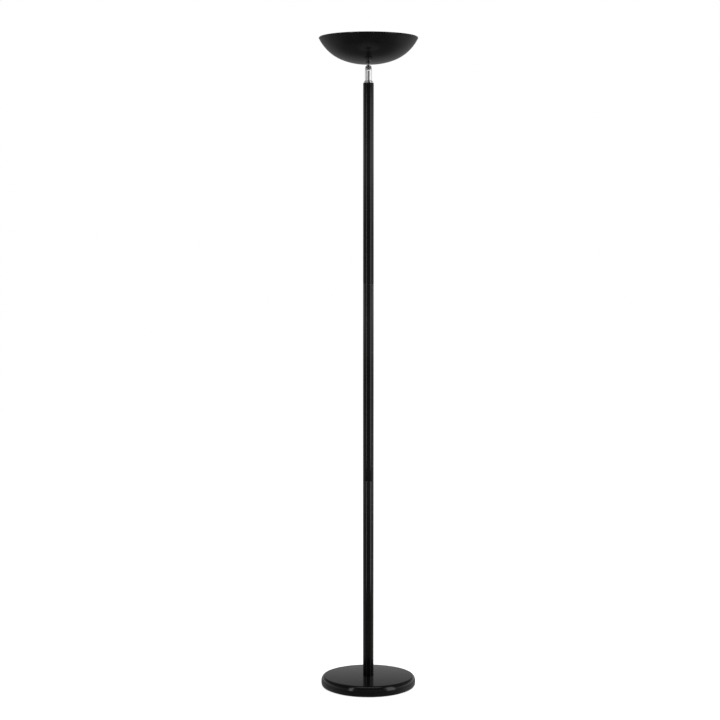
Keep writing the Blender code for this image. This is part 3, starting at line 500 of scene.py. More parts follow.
def soften(bm, width, segments=3, least=math.radians(40)):
    """Rounds the edges that turn by more than the least angle."""
    bmesh.ops.remove_doubles(bm, verts=bm.verts, dist=MERGE)
    hard = [edge for edge in bm.edges if len(edge.link_faces) == 2 and edge.calc_face_angle() > least]
    bmesh.ops.bevel(
        bm, geom=hard, offset=width, affect="EDGES", segments=segments, profile=0.5, material=-1
    )
    return bm


def work(obj, tools, operation="DIFFERENCE"):
    """Cuts the tools from a piece, or joins them to it, and removes them."""
    for tool in tools:
        step = obj.modifiers.new(tool.name, "BOOLEAN")
        step.operation = operation
        step.object = tool
    bpy.context.view_layer.update()
    graph = bpy.context.evaluated_depsgraph_get()
    shape = bpy.data.meshes.new_from_object(obj.evaluated_get(graph))
    obj.modifiers.clear()
    obj.data = shape
    for tool in tools:
        bpy.data.objects.remove(tool, do_unlink=True)
    return obj


def break_edges(obj, width, segments=2, least=math.radians(35)):
    """A small rounding on the hard edges of a worked piece."""
    bevel = obj.modifiers.new("broken_edges", "BEVEL")
    bevel.width = width
    bevel.segments = segments
    bevel.limit_method = "ANGLE"
    bevel.angle_limit = least
    bevel.harden_normals = True
    return obj


def bent_strip(name, outline, half_width, thickness, finish, along="Y"):
    """A bent strip of sheet: an open outline swept to both sides along X or Y."""
    bm = bmesh.new()
    if along == "Y":
        start = [bm.verts.new((x, -half_width, z)) for x, z in outline]
        across = Vector((0, 2 * half_width, 0))
    else:
        start = [bm.verts.new((-half_width, y, z)) for y, z in outline]
        across = Vector((2 * half_width, 0, 0))
    edges = [bm.edges.new(pair) for pair in zip(start, start[1:])]
    swept = bmesh.ops.extrude_edge_only(bm, edges=edges)["geom"]
    moved = [item for item in swept if isinstance(item, bmesh.types.BMVert)]
    bmesh.ops.translate(bm, verts=moved, vec=across)
    obj = piece(name, bm, finish)
    thicken = obj.modifiers.new("thickness", "SOLIDIFY")
    thicken.thickness = thickness
    thicken.offset = 0
    thicken.use_even_offset = True
    return obj


def rounded(points, radius, steps=5):
    """An outline with its inner corners rounded to about that radius."""
    points = [Vector(point) for point in points]
    made = [points[0]]
    for before, corner, after in zip(points, points[1:], points[2:]):
        towards = (before - corner).normalized()
        away = (after - corner).normalized()
        reach = min(radius, (before - corner).length / 2, (after - corner).length / 2)
        a, b = corner + towards * reach, corner + away * reach
        for i in range(steps + 1):
            t = i / steps
            made.append(a * (1 - t) ** 2 + corner * 2 * t * (1 - t) + b * t**2)
    return [*made, points[-1]]


def strand(name, points, radius, finish, sides=4):
    """A round wire or lead along points."""
    curve = bpy.data.curves.new(name, "CURVE")
    curve.dimensions = "3D"
    curve.bevel_depth = radius
    curve.bevel_resolution = sides
    curve.use_fill_caps = True
    spline = curve.splines.new("POLY")
    spline.points.add(len(points) - 1)
    for knot, point in zip(spline.points, points):
        knot.co = (*point, 1.0)
    curve.materials.append(finish)
    obj = bpy.data.objects.new(name, curve)
    bpy.context.scene.collection.objects.link(obj)
    return obj


def stands_for(obj, body, slot, *nodes):
    """Rides the piece on its body, in place of its CAD nodes."""
    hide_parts(*nodes)
    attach(obj, body)
    return obj


def limits(node):
    low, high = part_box(node)
    return Vector(low), Vector(high)


def dress(node, finish):
    """Gives a CAD node its finish."""
    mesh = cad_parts[node].data
    mesh.materials.clear()
    mesh.materials.append(finish)


# Base


def base_cover(finishes):
    """Pressed cover with a soft shoulder, a rounded foot and the centre hole for the tie rod."""
    low, high = limits("base_cover")
    radius, top, bottom = high.x, high.z, low.z
    inwards, downwards = BASE_SHOULDER
    foot = (radius - BASE_FOOT, bottom + BASE_FOOT)
    shoulder = (radius - inwards, top - downwards)
    hole = limits("tie_rod")[1].x + THREAD_ROOM
    inner_foot = BASE_FOOT - BASE_SHEET
    outline = arc(foot, (BASE_FOOT, BASE_FOOT), -math.pi / 2, 0, 14)
    outline += arc(shoulder, BASE_SHOULDER, 0, math.pi / 2, 20)
    outline += [(hole, top), (hole, top - BASE_SHEET)]
    outline += arc(shoulder, (inwards - BASE_SHEET, downwards - BASE_SHEET), math.pi / 2, 0, 8)
    outline += arc(foot, (inner_foot, inner_foot), 0, -math.pi / 2, 8)
    cover = piece("painted_base", turn(outline, BIG_ROUND), finishes["black_paint"])
    stands_for(cover, "stand", "black_paint", "base_cover")


def base_underside(finishes):
    """Felt disc with a soft edge."""
    low, high = limits("felt_pad")
    edge = (high.z - low.z) / 3
    outline = [(0, low.z), (high.x - edge, low.z), (high.x, low.z + edge), (high.x, high.z), (0, high.z)]
    felt = piece("felt_disc", turn(outline, BIG_ROUND), finishes["felt"])
    stands_for(felt, "stand", "felt", "felt_pad")


def cord_inlet(finishes):
    """Rubber grommet with a rounded lip, at the back of the base."""
    low, high = limits("cord_inlet")
    centre = (low + high) / 2
    length = high.y - low.y
    lip = high.z - centre.z
    bore, thick = INLET_BORE, INLET_LIP
    outline = [(bore, 0), (lip - thick / 3, 0), (lip - thick / 3, thick), (INLET_NECK, thick)]
    outline += [(INLET_NECK, length - thick), (lip, length - thick)]
    outline += arc((lip - thick / 2, length - thick / 2), (thick / 2, thick / 2), 0, math.pi / 2, 6)
    outline += arc((bore + thick / 2, length - thick / 2), (thick / 2, thick / 2), math.pi / 2, math.pi, 6)
    bm = turn(outline, SMALL_ROUND)
    bmesh.ops.transform(bm, matrix=Matrix.Rotation(-math.pi / 2, 4, "X"), verts=bm.verts)
    bmesh.ops.translate(bm, verts=bm.verts, vec=(centre.x, low.y, centre.z))
    grommet = piece("inlet_grommet", bm, finishes["rubber"])
    stands_for(grommet, "stand", "rubber", "cord_inlet")


# Pole


def pole_tubes(finishes):
    """Three painted tubes with their ends turned in a little, so that each join is a hairline."""
    for node in ("pole_lower", "pole_middle", "pole_upper"):
        low, high = limits(node)
        radius, bore = high.x, high.x - TUBE_WALL
        lip = (TUBE_LIP, TUBE_LIP)
        outline = [(bore, low.z), (radius - TUBE_LIP, low.z)]
        outline += arc((radius - TUBE_LIP, low.z + TUBE_LIP), lip, -math.pi / 2, 0, 3)
        outline += arc((radius - TUBE_LIP, high.z - TUBE_LIP), lip, 0, math.pi / 2, 3)
        outline += [(bore, high.z)]
        tube = piece(f"{node}_tube", turn(outline, TUBE_ROUND), finishes["black_paint"])
        stands_for(tube, "stand", "black_paint", node)


def pole_end(finishes):
    """Black end piece of the pole with a rounded edge."""
    low, high = limits("pole_cap")
    radius = high.x
    spigot = radius - TUBE_WALL - THREAD_ROOM
    base = limits("pole_upper")[1].z + THREAD_ROOM
    bore = THREAD_BORE
    outline = [(bore, low.z), (spigot - TUBE_LIP, low.z), (spigot, low.z + TUBE_LIP), (spigot, base)]
    outline += [(radius, base)]
    outline += arc((radius - CAP_EDGE, high.z - CAP_EDGE), (CAP_EDGE, CAP_EDGE), 0, math.pi / 2, 6)
    outline += [(bore, high.z)]
    cap = piece("pole_end_cap", turn(outline, TUBE_ROUND), finishes["black_paint"])
    stands_for(cap, "stand", "black_paint", "pole_cap")


# Neck and knuckle


def pivot_point():
    """Middle of the tilt screw."""
    return Vector((0, 0, limits("shade_bowl")[0].z - PIVOT_DROP))


def collar(finishes):
    """Plated ring with a full round edge, under the stem."""
    low, high = limits("neck_collar")
    bore, half = THREAD_BORE, (high.z - low.z) / 2
    outline = [(bore, low.z), (high.x - TUBE_LIP, low.z), (high.x, low.z + TUBE_LIP)]
    outline += arc((high.x - half, low.z + half), (half, half), 0, math.pi / 2, 12)
    outline += [(bore + TUBE_LIP, high.z), (bore, high.z - TUBE_LIP)]
    ring = piece("chrome_collar", turn(outline, TUBE_ROUND), finishes["chrome"])
    stands_for(ring, "stand", "chrome", "neck_collar")


def fork(finishes):
    """Plated stem, rounded over the top and slotted for the tongue, with sunk seats for the screw."""
    low, high = limits("neck_fork")
    pivot = pivot_point()
    stem = limits("neck_collar")[1].z + THREAD_ROOM
    radius, thread = high.x, THREAD_RADIUS
    flare = (radius - KNUCKLE_RADIUS, KNUCKLE_FLARE)
    dome = math.acos(NECK_BORE / KNUCKLE_RADIUS)
    outline = [(NECK_BORE, low.z), (thread, low.z), (thread, stem), (radius - NECK_CHAMFER, stem)]
    outline += [(radius, stem + NECK_CHAMFER)]
    outline += arc((KNUCKLE_RADIUS, pivot.z - KNUCKLE_FLARE), flare, 0, math.pi / 2, 12)
    outline += arc((0, pivot.z), (KNUCKLE_RADIUS, KNUCKLE_RADIUS), 0, dome, 16)[1:]
    obj = piece("chrome_fork", turn(outline, TUBE_ROUND), finishes["chrome"])
    reach = 2 * radius
    slot = block((-SLOT_HALF, -reach, pivot.z - SLOT_DROP), (SLOT_HALF, reach, pivot.z + reach))
    way = along_x(drum(SCREW_SHANK + THREAD_ROOM, -reach, reach), 1, pivot)
    tools = [piece("slot", slot, None), piece("screw_way", way, None)]
    seat = limits("tilt_nut")[1].z - pivot.z + THREAD_ROOM
    for side in (1, -1):
        tools.append(piece(f"seat_{side}", along_x(drum(seat, SEAT_REACH, reach), side, pivot), None))
    break_edges(work(obj, tools), EDGE_FORK)
    stands_for(obj, "stand", "chrome", "neck_fork")


def tilt_fixings(finishes):
    """Screw with a hexagon socket, and a plain round nut with a driver slot."""
    low, high = limits("tilt_screw")
    pivot = pivot_point()
    head_base = SEAT_REACH + THREAD_ROOM
    head_top = high.x
    radius = high.z - pivot.z
    crown = (head_top - head_base) / 2
    outline = [(0, low.x), (SCREW_SHANK * SCREW_TIP_SHARE, low.x), (SCREW_SHANK, low.x + crown / 2)]
    outline += [(SCREW_SHANK, head_base), (radius, head_base), (radius, head_top - crown)]
    outline += arc((radius - crown, head_top - crown), (crown, crown), 0, math.pi / 2, 6)[1:]
    outline += [(0, head_top)]
    screw = piece("tilt_screw_head", along_x(turn(outline, SMALL_ROUND), 1, pivot), finishes["chrome"])
    key = drum(radius * KEY_SHARE, head_base + crown * KEY_SHARE, head_top + crown, 6)
    break_edges(work(screw, [piece("key", along_x(key, 1, pivot), None)]), EDGE_SCREW)
    stands_for(screw, "stand", "chrome", "tilt_screw")
    bore = SCREW_SHANK + THREAD_ROOM
    outline = [(bore, head_base), (radius, head_base), (radius, head_top - crown / 2)]
    outline += [(radius - crown / 2, head_top), (bore + crown / 4, head_top), (bore, head_top - crown / 4)]
    nut = piece("tilt_nut_ring", along_x(turn(outline, SMALL_ROUND), -1, pivot), finishes["chrome"])
    groove = block(
        (-head_top - crown, -radius * 2, pivot.z - GROOVE_HALF),
        (-head_top + crown, radius * 2, pivot.z + GROOVE_HALF),
    )
    break_edges(work(nut, [piece("groove", groove, None)]), EDGE_SCREW)
    stands_for(nut, "stand", "chrome", "tilt_nut")


def tongue(finishes):
    """Moving half of the knuckle, with its threaded stud."""
    high = limits("shade_tongue")[1]
    pivot = pivot_point()
    radius = high.y
    shoulder = limits("seat_washer")[0].z - THREAD_ROOM
    stud = THREAD_RADIUS
    disc = drum(radius, -TONGUE_HALF, TONGUE_HALF, TUBE_ROUND)
    obj = piece("chrome_tongue", along_x(disc, 1, pivot), finishes["chrome"])
    neck = block((-TONGUE_HALF, -TONGUE_NECK_HALF, pivot.z), (TONGUE_HALF, TONGUE_NECK_HALF, shoulder))
    post = drum(stud, shoulder - STUD_ROOT, high.z)
    work(obj, [piece("neck", neck, None), piece("stud", post, None)], "UNION")
    inside = TONGUE_HALF - TONGUE_WALL
    length = TONGUE_NECK_HALF - TONGUE_WALL
    way = block((-inside, -length, pivot.z - 2 * radius), (inside, length, pivot.z + length))
    tools = [
        piece("way", way, None),
        piece("stud_bore", drum(LEAD_WAY, pivot.z, high.z + stud), None),
        piece("pin_way", along_x(drum(SCREW_SHANK + THREAD_ROOM, -stud, stud), 1, pivot), None),
    ]
    break_edges(work(obj, tools), EDGE_SHEET)
    stands_for(obj, "shade", "chrome", "shade_tongue")


# Bowl


def bowl(finishes):
    """Spun bowl with a rolled rim: black outside, white inside."""
    low, high = limits("shade_bowl")
    radius, depth = high.x, high.z - low.z
    slope = BOWL_CROWN_SLOPE
    crown_end = Vector((BOWL_SEAT + BOWL_CROWN * math.sin(slope), BOWL_CROWN * (1 - math.cos(slope))))
    bead_centre = Vector((radius - BOWL_BEAD, depth - BOWL_BEAD))
    rim = bead_centre + BOWL_BEAD * Vector((math.cos(BOWL_BEAD_START), math.sin(BOWL_BEAD_START)))
    inwards = Vector((-math.sin(slope), math.cos(slope)))
    chord = rim - crown_end
    side = chord.length_squared / (2 * chord.dot(inwards))
    centre = crown_end + side * inwards
    rim_angle = math.atan2(rim.y - centre.y, rim.x - centre.x)
    down = -math.pi / 2
    crown_stop = down + slope
    crown_centre = (BOWL_SEAT, BOWL_CROWN)
    inner_crown, inner_side = BOWL_CROWN - BOWL_SHEET, side - BOWL_SHEET
    outline = [(THREAD_BORE, 0)]
    outline += arc(crown_centre, (BOWL_CROWN, BOWL_CROWN), down, crown_stop, 16)
    outline += arc(centre, (side, side), crown_stop, rim_angle, 28)[1:-1]
    outline += arc(bead_centre, (BOWL_BEAD, BOWL_BEAD), BOWL_BEAD_START, BOWL_BEAD_END, 18)
    outline += arc(centre, (inner_side, inner_side), rim_angle - BOWL_HEM_SLOPE, crown_stop, 26)[:-1]
    outline += arc(crown_centre, (inner_crown, inner_crown), crown_stop, down, 16)
    outline += [(THREAD_BORE, BOWL_SHEET)]
    bm = turn([(r, z + low.z) for r, z in outline], BIG_ROUND)
    bmesh.ops.recalc_face_normals(bm, faces=bm.faces)
    bead_inside = bead_centre.x - BOWL_BEAD * LINING_EDGE
    for face in bm.faces:
        middle = face.calc_center_median()
        out = math.hypot(middle.x, middle.y)
        if out < bead_inside and face.normal.z > LINING_RISE:
            face.material_index = 1
    shell = piece("spun_bowl", bm, finishes["black_paint"])
    shell.data.materials.append(finishes["white_enamel"])
    stands_for(shell, "shade", "black_paint", "shade_bowl")


def ring_piece(node, name, finish, body, slot, edge=EDGE_NUT):
    """A washer with broken edges."""
    low, high = limits(node)
    radius, bore = high.x, THREAD_BORE
    outline = [(bore, low.z + edge), (bore + edge, low.z), (radius - edge, low.z), (radius, low.z + edge)]
    outline += [(radius, high.z - edge), (radius - edge, high.z)]
    outline += [(bore + edge, high.z), (bore, high.z - edge)]
    stands_for(piece(name, turn(outline, SMALL_ROUND), finish), body, slot, node)


def hexagon_nut(node, name, finish, body, slot):
    """A nut with its corners turned off at both ends."""
    low, high = limits(node)
    across = high.y
    obj = piece(name, drum(across, low.z, high.z, 6), finish)
    turned_off, face, reach = across * NUT_CHAMFER, across * NUT_FACE, across * NUT_REACH
    profile = [(0, low.z), (face, low.z), (reach, low.z + turned_off)]
    profile += [(reach, high.z - turned_off), (face, high.z), (0, high.z)]
    work(obj, [piece("rounding", turn(profile, TUBE_ROUND), None)], "INTERSECT")
    work(obj, [piece("nut_bore", drum(THREAD_BORE, low.z - across, high.z + across), None)])
    break_edges(obj, EDGE_NUT)
    stands_for(obj, body, slot, node)


def bowl_fixings(finishes):
    ring_piece("seat_washer", "chrome_seat_ring", finishes["chrome"], "shade", "chrome")
    ring_piece("shade_washer", "bowl_washer", finishes["zinc"], "shade", "zinc")
    hexagon_nut("shade_nut", "bowl_nut", finishes["zinc"], "shade", "zinc")
    hexagon_nut("bracket_nut", "bracket_locknut", finishes["zinc"], "shade", "zinc")


def bracket(finishes):
    """Pressed strip with rounded bends and ends."""
    low, high = limits("holder_bracket")
    thickness = BRACKET_SHEET
    half = thickness / 2
    right = [(BRACKET_FLAT, low.z + half), (BRACKET_RISE, high.z - half), (high.x, high.z - half)]
    outline = rounded([(-x, z) for x, z in reversed(right)] + right, BRACKET_BEND)
    strip = bent_strip("lamp_bracket", outline, high.y, thickness, finishes["zinc"])
    hole = piece("stud_hole", drum(THREAD_BORE, low.z - thickness, low.z + 2 * thickness), None)
    work(strip, [hole])
    break_edges(strip, EDGE_SHEET)
    stands_for(strip, "shade", "zinc", "holder_bracket")


def small_screw(node, name, finish, body, slot, head_up):
    """Pan head with a cross recess."""
    low, high = limits(node)
    middle = (low + high) / 2
    radius = high.x - middle.x
    height, shank = PAN_HEAD_UP if head_up else PAN_HEAD_DOWN
    seat = high.z - height if head_up else low.z + height
    way = 1 if head_up else -1
    tip = low.z if head_up else high.z
    end = tip + way * shank / 2
    outline = [(0, tip), (shank * PAN_TIP, tip), (shank, end), (shank, seat), (radius, seat)]
    crown = (radius, way * height * PAN_CROWN)
    outline += arc((0, seat + way * height * PAN_STRAIGHT), crown, 0, math.pi / 2, 8)
    bm = turn(outline, 24)
    bmesh.ops.translate(bm, verts=bm.verts, vec=(middle.x, middle.y, 0))
    screw = piece(name, bm, finish)
    top = seat + way * height
    wide, thin, deep = radius * RECESS_WIDE, radius * RECESS_THIN, height * RECESS_DEEP
    floor_z, open_z = min(top - way * deep, top + way * deep), max(top - way * deep, top + way * deep)
    tools = []
    for label, x, y in (("long", wide, thin), ("cross", thin, wide)):
        recess = block((middle.x - x, middle.y - y, floor_z), (middle.x + x, middle.y + y, open_z))
        tools.append(piece(label, recess, None))
    work(screw, tools)
    stands_for(screw, body, slot, node)


def lamp_holder(finishes, end, side):
    """Glazed ceramic holder with an open mouth for the lamp's end."""
    node = f"socket_{end}"
    low, high = limits(node)
    axis_z = (limits("lamp_tube")[0].z + limits("lamp_tube")[1].z) / 2
    face = low.x if side > 0 else high.x
    length = high.x - low.x
    mouth = HOLDER_MOUTH
    depth = abs(limits(f"contact_pin_{end}")[1 if side < 0 else 0].x - face)
    chamber = depth + CHAMBER_PAST_PIN
    holder = piece(node + "_body", soften(block(low, high), HOLDER_EDGE, 4), finishes["ceramic"])
    way = Vector((face, 0, axis_z))
    inner, outer = face - side * mouth, face + side * (depth + MOUTH_PAST_PIN)
    slot = block((min(inner, outer), -mouth, axis_z), (max(inner, outer), mouth, high.z + length))
    chamber_hole = drum(CHAMBER_RADIUS, chamber, chamber + CHAMBER_LENGTH)
    spring_hole = drum(SPRING_BORE, chamber, length - HOLDER_END_WALL)
    tools = [
        piece("mouth", along_x(drum(mouth, -mouth, depth + MOUTH_PAST_PIN), side, way), None),
        piece("mouth_slot", slot, None),
        piece("chamber", along_x(chamber_hole, side, way), None),
        piece("spring_bore", along_x(spring_hole, side, way), None),
    ]
    for i in range(3):
        fin = face + side * (length * FIN_START + i * length * FIN_PITCH)
        groove = block(
            (fin - FIN_HALF, -FIN_REACH, high.z - FIN_DEPTH), (fin + FIN_HALF, FIN_REACH, high.z + FIN_ABOVE)
        )
        tools.append(piece(f"fin_{i}", groove, None))
    work(holder, tools)
    break_edges(holder, EDGE_CERAMIC)
    stands_for(holder, "shade", "ceramic", node)
    small_screw(f"socket_screw_{end}", f"holder_screw_{end}", finishes["zinc"], "shade", "zinc", False)


def lamp(finishes):
    """Quartz tube with pinched ends, a coiled filament with straight ends, and ceramic ends."""
    low, high = limits("lamp_tube")
    axis_z = (low.z + high.z) / 2
    half, radius, wall, pinch = high.x, high.z - axis_z, QUARTZ_WALL, PINCH_RADIUS
    body = half - PINCH_LENGTH - radius / 2
    shoulder = half - PINCH_LENGTH
    outer = [(pinch, -half), (pinch, -shoulder)]
    outer += arc((pinch, -body), (radius - pinch, shoulder - body), -math.pi / 2, 0, 8)[1:]
    outer += arc((pinch, body), (radius - pinch, shoulder - body), 0, math.pi / 2, 8)
    outer += [(pinch, half)]
    inner = [(pinch - wall, half), (pinch - wall, shoulder)]
    inner += arc((pinch - wall, body), (radius - pinch, shoulder - body), math.pi / 2, 0, 8)
    inner += arc((pinch - wall, -body), (radius - pinch, shoulder - body), 0, -math.pi / 2, 8)
    inner += [(pinch - wall, -half)]
    place = Vector((0, 0, axis_z))
    tube = piece("quartz_tube", along_x(turn(outer + inner, SMALL_ROUND), 1, place), finishes["quartz"])
    stands_for(tube, "shade", "quartz", "lamp_tube")
    coil_half, coil, steps = body * COIL_SHARE, COIL_RADIUS, COIL_TURNS * COIL_STEPS
    points = [Vector((-half + FILAMENT_INSET, 0, axis_z))]
    for i in range(steps + 1):
        angle = math.tau * i / COIL_STEPS
        x = -coil_half + 2 * coil_half * i / steps
        points.append(Vector((x, coil * math.cos(angle), axis_z + coil * math.sin(angle))))
    points.append(Vector((half - FILAMENT_INSET, 0, axis_z)))
    filament = strand("coiled_filament", points, FILAMENT_RADIUS, finishes["tungsten"], 1)
    stands_for(filament, "shade", "tungsten", "lamp_filament")
    for end, side in (("right", 1), ("left", -1)):
        low, high = limits(f"lamp_cap_{end}")
        start, stop = (low.x, high.x) if side > 0 else (-high.x, -low.x)
        cap, edge = high.y, LAMP_END_EDGE
        outer_radius, inner_radius, deep = LAMP_CONTACT
        outline = [(0, start), (cap - edge, start), (cap, start + edge), (cap, stop - edge)]
        outline += arc((cap - edge, stop - edge), (edge, edge), 0, math.pi / 2, 3)[1:]
        outline += [(outer_radius, stop), (inner_radius, stop - deep), (0, stop - deep)]
        shape = along_x(turn(outline, SMALL_ROUND), side, place)
        obj = piece(f"ceramic_end_{end}", shape, finishes["ceramic"])
        stands_for(obj, "shade", "ceramic", f"lamp_cap_{end}")


def contacts(finishes):
    """Turned pins, and the springs behind them."""
    for end, side in (("right", 1), ("left", -1)):
        low, high = limits(f"contact_pin_{end}")
        axis_z = (low.z + high.z) / 2
        start = low.x if side > 0 else -high.x
        tip, nose_length = PIN_TIP, PIN_TIP * PIN_NOSE_SHARE
        collar_start, collar_end = start + PIN_COLLAR[0], start + PIN_COLLAR[1]
        stop = start + (high.x - low.x)
        outline = arc((0, start + nose_length), (tip, nose_length), -math.pi / 2, 0, 8)
        outline += [(tip, collar_start), (high.y, collar_start), (high.y, collar_end)]
        outline += [(PIN_TAIL, collar_end), (PIN_TAIL, stop), (0, stop)]
        shape = along_x(turn(outline, SMALL_ROUND), side, Vector((0, 0, axis_z)))
        pin = piece(f"brass_contact_{end}", shape, finishes["brass"])
        stands_for(pin, f"contact_{end}", "brass", f"contact_pin_{end}")
        dress(f"contact_spring_{end}", finishes["zinc"])


def reflector(finishes):
    """Bent bright sheet with flanges, held by two screws."""
    low, high = limits("reflector")
    base = low.z + TROUGH_SHEET / 2
    down, bend = -math.pi / 2, TROUGH_BEND
    side = arc((TROUGH_FLAT, base + bend), (bend, bend), down, TROUGH_TURN + down, 28)
    y, z = side[-1]
    lip = rounded([side[-2], side[-1], (y + TROUGH_FLANGE, z)], TROUGH_LIP, 4)
    outline = side[:-1] + [tuple(point) for point in lip[1:]]
    outline = [(-y, z) for y, z in reversed(outline)] + outline
    trough = bent_strip("bright_trough", outline, high.x, TROUGH_SHEET, finishes["bright_aluminium"], "X")
    stands_for(trough, "shade", "bright_aluminium", "reflector")
    for end in ("left", "right"):
        small_screw(f"reflector_screw_{end}", f"trough_screw_{end}", finishes["zinc"], "shade", "zinc", True)


def pane_and_clips(finishes):
    """Glass with rounded corners, and the two bent clips that hold it."""
    low, high = limits("protective_glass")
    bm = block(low, high)
    upright = [edge for edge in bm.edges if edge.verts[0].co.z != edge.verts[1].co.z]
    bmesh.ops.bevel(
        bm, geom=upright, offset=PANE_CORNER, affect="EDGES", segments=8, profile=0.5, material=-1
    )
    soften(bm, PANE_EDGE, 3)
    stands_for(piece("glass_pane", bm, finishes["pane"]), "shade", "quartz", "protective_glass")
    for end, side in (("front", -1), ("rear", 1)):
        node = f"glass_clip_{end}"
        low, high = limits(node)
        half = CLIP_SHEET / 2
        far = (high.y if side > 0 else -low.y) - half
        outline = [(side * (far - CLIP_GRIP / 2), low.z + half), (side * far, low.z + half)]
        outline += [(side * far, high.z - half), (side * (far - CLIP_GRIP), high.z - half)]
        outline = rounded(outline, CLIP_BEND)
        clip = bent_strip(f"spring_clip_{end}", outline, high.x, CLIP_SHEET, finishes["zinc"], "X")
        stands_for(clip, "shade", "zinc", node)


def wiring(finishes):
    """Ceramic terminal block with its screw wells, the lead and the two braided wires."""
    low, high = limits("terminal_block")
    level = (low.z + high.z) / 2
    obj = piece("terminal_body", soften(block(low, high), TERMINAL_EDGE, 3), finishes["ceramic"])
    tools = []
    for side in (1, -1):
        across = side * TERMINAL_PITCH
        way = along_x(drum(WIRE_WAY, *WIRE_WAY_SPAN), 1, (0, across, level))
        tools.append(piece("wire_way", way, None))
        well = drum(WELL_RADIUS, high.z - WELL_DEPTH, high.z + WELL_DEPTH)
        bmesh.ops.translate(well, verts=well.verts, vec=((low.x + high.x) / 2, across, 0))
        tools.append(piece("screw_well", well, None))
    work(obj, tools)
    break_edges(obj, EDGE_SHEET)
    stands_for(obj, "shade", "ceramic", "terminal_block")
    dress("shade_lead", finishes["lead_sheath"])
    dress("socket_wire_left", finishes["wire_sleeve"])
    dress("socket_wire_right", finishes["wire_sleeve"])


def hidden_pieces(finishes):
    """Pieces inside the base, pole and knuckle keep their CAD shape and take their finish."""
    for node, finish in (
        ("base_weight", "cement"),
        ("tie_rod", "zinc"),
        ("base_washer", "zinc"),
        ("base_nut", "zinc"),
        ("foot_bush", "zinc"),
        ("coupler_lower", "zinc"),
        ("coupler_upper", "zinc"),
        ("pole_lead", "lead_sheath"),
        ("friction_washer_left", "zinc"),
        ("friction_washer_right", "zinc"),
    ):
        dress(node, finishes[finish])


# Studio


def floor():
    """Plain pale floor, bright enough to run into the background."""
    bm = bmesh.new()
    bmesh.ops.create_grid(bm, x_segments=2, y_segments=2, size=FLOOR_HALF)
    mesh = bpy.data.meshes.new("floor")
    bm.to_mesh(mesh)
    bm.free()
    plane = bpy.data.objects.new("floor", mesh)
    bpy.context.scene.collection.objects.link(plane)
    pale = surface("pale_floor", (0.85, 0.85, 0.85), 0.9)
    shader_of(pale).inputs["Emission Color"].default_value = WHITE
    shader_of(pale).inputs["Emission Strength"].default_value = FLOOR_GLOW
    mesh.materials.append(pale)
    plane.visible_glossy = False


def area_light(name, place, turn_by, wide, tall, glow):
    """A panel light of that brightness that the camera doesn't see."""
    light = bpy.data.lights.new(name, "AREA")
    light.shape = "RECTANGLE"
    light.size = wide
    light.size_y = tall
    light.energy = glow * math.pi * wide * tall
    panel = bpy.data.objects.new(name, light)
    panel.location = place
    panel.rotation_euler = turn_by
    panel.visible_camera = False
    bpy.context.scene.collection.objects.link(panel)
    return panel


def softbox(name, azimuth, wide, glow):
    """An upright panel light, turned to the pole from an azimuth counted from the front."""
    angle = math.radians(azimuth)
    place = (LIGHT_REACH * math.sin(angle), -LIGHT_REACH * math.cos(angle), LIGHT_LOW + LIGHT_TALL / 2)
    area_light(name, place, (math.pi / 2, 0, angle), wide, LIGHT_TALL, glow)


def overhead():
    """Broad light on the floor and into the bowl, and the panel in front that edges the base."""
    above, ahead = (0, OVERHEAD_BACK, PANEL_HEIGHT), (0, FRONT_PANEL_BACK, PANEL_HEIGHT)
    panel = area_light("overhead", above, (0, 0, 0), *OVERHEAD_SIZE, OVERHEAD_GLOW)
    panel.visible_glossy = False
    area_light("front_panel", ahead, (FRONT_PANEL_TURN, 0, 0), *FRONT_PANEL_SIZE, FRONT_PANEL_GLOW)


def graded(tree, value, stops):
    """A grey level read from a ramp at a value from -1 to 1."""
    span = tree.nodes.new("ShaderNodeMapRange")
    span.inputs["From Min"].default_value = -1.0
    span.inputs["From Max"].default_value = 1.0
    tree.links.new(value, span.inputs["Value"])
    ramp = tree.nodes.new("ShaderNodeValToRGB")
    marks = ramp.color_ramp.elements
    while len(marks) < len(stops):
        marks.new(0.5)
    for mark, (place, _) in zip(marks, stops):
        mark.position = place
    for mark, (place, glow) in zip(marks, stops):
        mark.position = place
        mark.color = (glow, glow, glow, 1.0)
    tree.links.new(span.outputs["Result"], ramp.inputs["Fac"])
    return ramp.outputs["Color"]


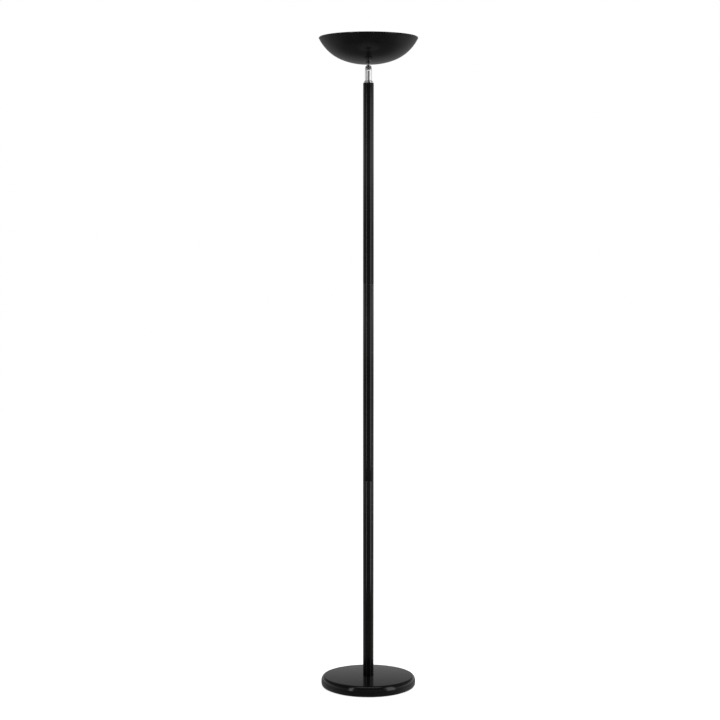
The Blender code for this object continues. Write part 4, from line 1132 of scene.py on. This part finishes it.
def surroundings():
    """White to look at; in reflections dark at the front and above, and pale along the back."""
    world = bpy.data.worlds.new("studio")
    world.use_nodes = True
    tree = world.node_tree
    tree.nodes.clear()
    direction = tree.nodes.new("ShaderNodeTexCoord")
    parts = tree.nodes.new("ShaderNodeSeparateXYZ")
    tree.links.new(direction.outputs["Generated"], parts.inputs["Vector"])
    level = graded(tree, parts.outputs["Y"], AROUND)
    for axis, stops in (("X", LEFT_TO_RIGHT), ("Z", BELOW_TO_ABOVE)):
        product = tree.nodes.new("ShaderNodeMix")
        product.data_type = "RGBA"
        product.blend_type = "MULTIPLY"
        product.inputs["Factor"].default_value = 1.0
        tree.links.new(level, product.inputs["A"])
        tree.links.new(graded(tree, parts.outputs[axis], stops), product.inputs["B"])
        level = product.outputs["Result"]
    around = tree.nodes.new("ShaderNodeBackground")
    tree.links.new(level, around.inputs["Color"])
    white = tree.nodes.new("ShaderNodeBackground")
    white.inputs["Color"].default_value = WHITE
    seen = tree.nodes.new("ShaderNodeLightPath")
    mix = tree.nodes.new("ShaderNodeMixShader")
    output = tree.nodes.new("ShaderNodeOutputWorld")
    tree.links.new(seen.outputs["Is Camera Ray"], mix.inputs["Fac"])
    tree.links.new(around.outputs["Background"], mix.inputs[1])
    tree.links.new(white.outputs["Background"], mix.inputs[2])
    tree.links.new(mix.outputs["Shader"], output.inputs["Surface"])
    bpy.context.scene.world = world


def camera():
    lens = bpy.data.cameras.new("camera")
    lens.sensor_width = SENSOR_MM
    lens.lens = LENS_MM
    stand = bpy.data.objects.new("camera", lens)
    stand.location = (0, -CAMERA_DISTANCE, CAMERA_HEIGHT)
    stand.rotation_euler = (math.pi / 2 - CAMERA_DOWN, 0, CAMERA_LEFT)
    bpy.context.scene.collection.objects.link(stand)
    bpy.context.scene.camera = stand


def studio():
    camera()
    floor()
    surroundings()
    for name, azimuth, wide, glow in SOFTBOXES:
        softbox(name, azimuth, wide, glow)
    overhead()
    bpy.context.scene.view_settings.view_transform = "Standard"


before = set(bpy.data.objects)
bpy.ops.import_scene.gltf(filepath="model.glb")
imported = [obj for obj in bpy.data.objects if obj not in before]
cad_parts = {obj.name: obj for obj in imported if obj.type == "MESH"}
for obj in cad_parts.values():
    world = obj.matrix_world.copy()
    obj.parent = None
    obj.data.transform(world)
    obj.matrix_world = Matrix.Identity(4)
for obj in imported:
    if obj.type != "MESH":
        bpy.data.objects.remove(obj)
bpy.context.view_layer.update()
finishes = make_finishes()
studio()
base_cover(finishes)
base_underside(finishes)
cord_inlet(finishes)
pole_tubes(finishes)
pole_end(finishes)
collar(finishes)
fork(finishes)
tilt_fixings(finishes)
tongue(finishes)
bowl(finishes)
bowl_fixings(finishes)
bracket(finishes)
for end, side in (("right", 1), ("left", -1)):
    lamp_holder(finishes, end, side)
lamp(finishes)
contacts(finishes)
reflector(finishes)
pane_and_clips(finishes)
wiring(finishes)
hidden_pieces(finishes)
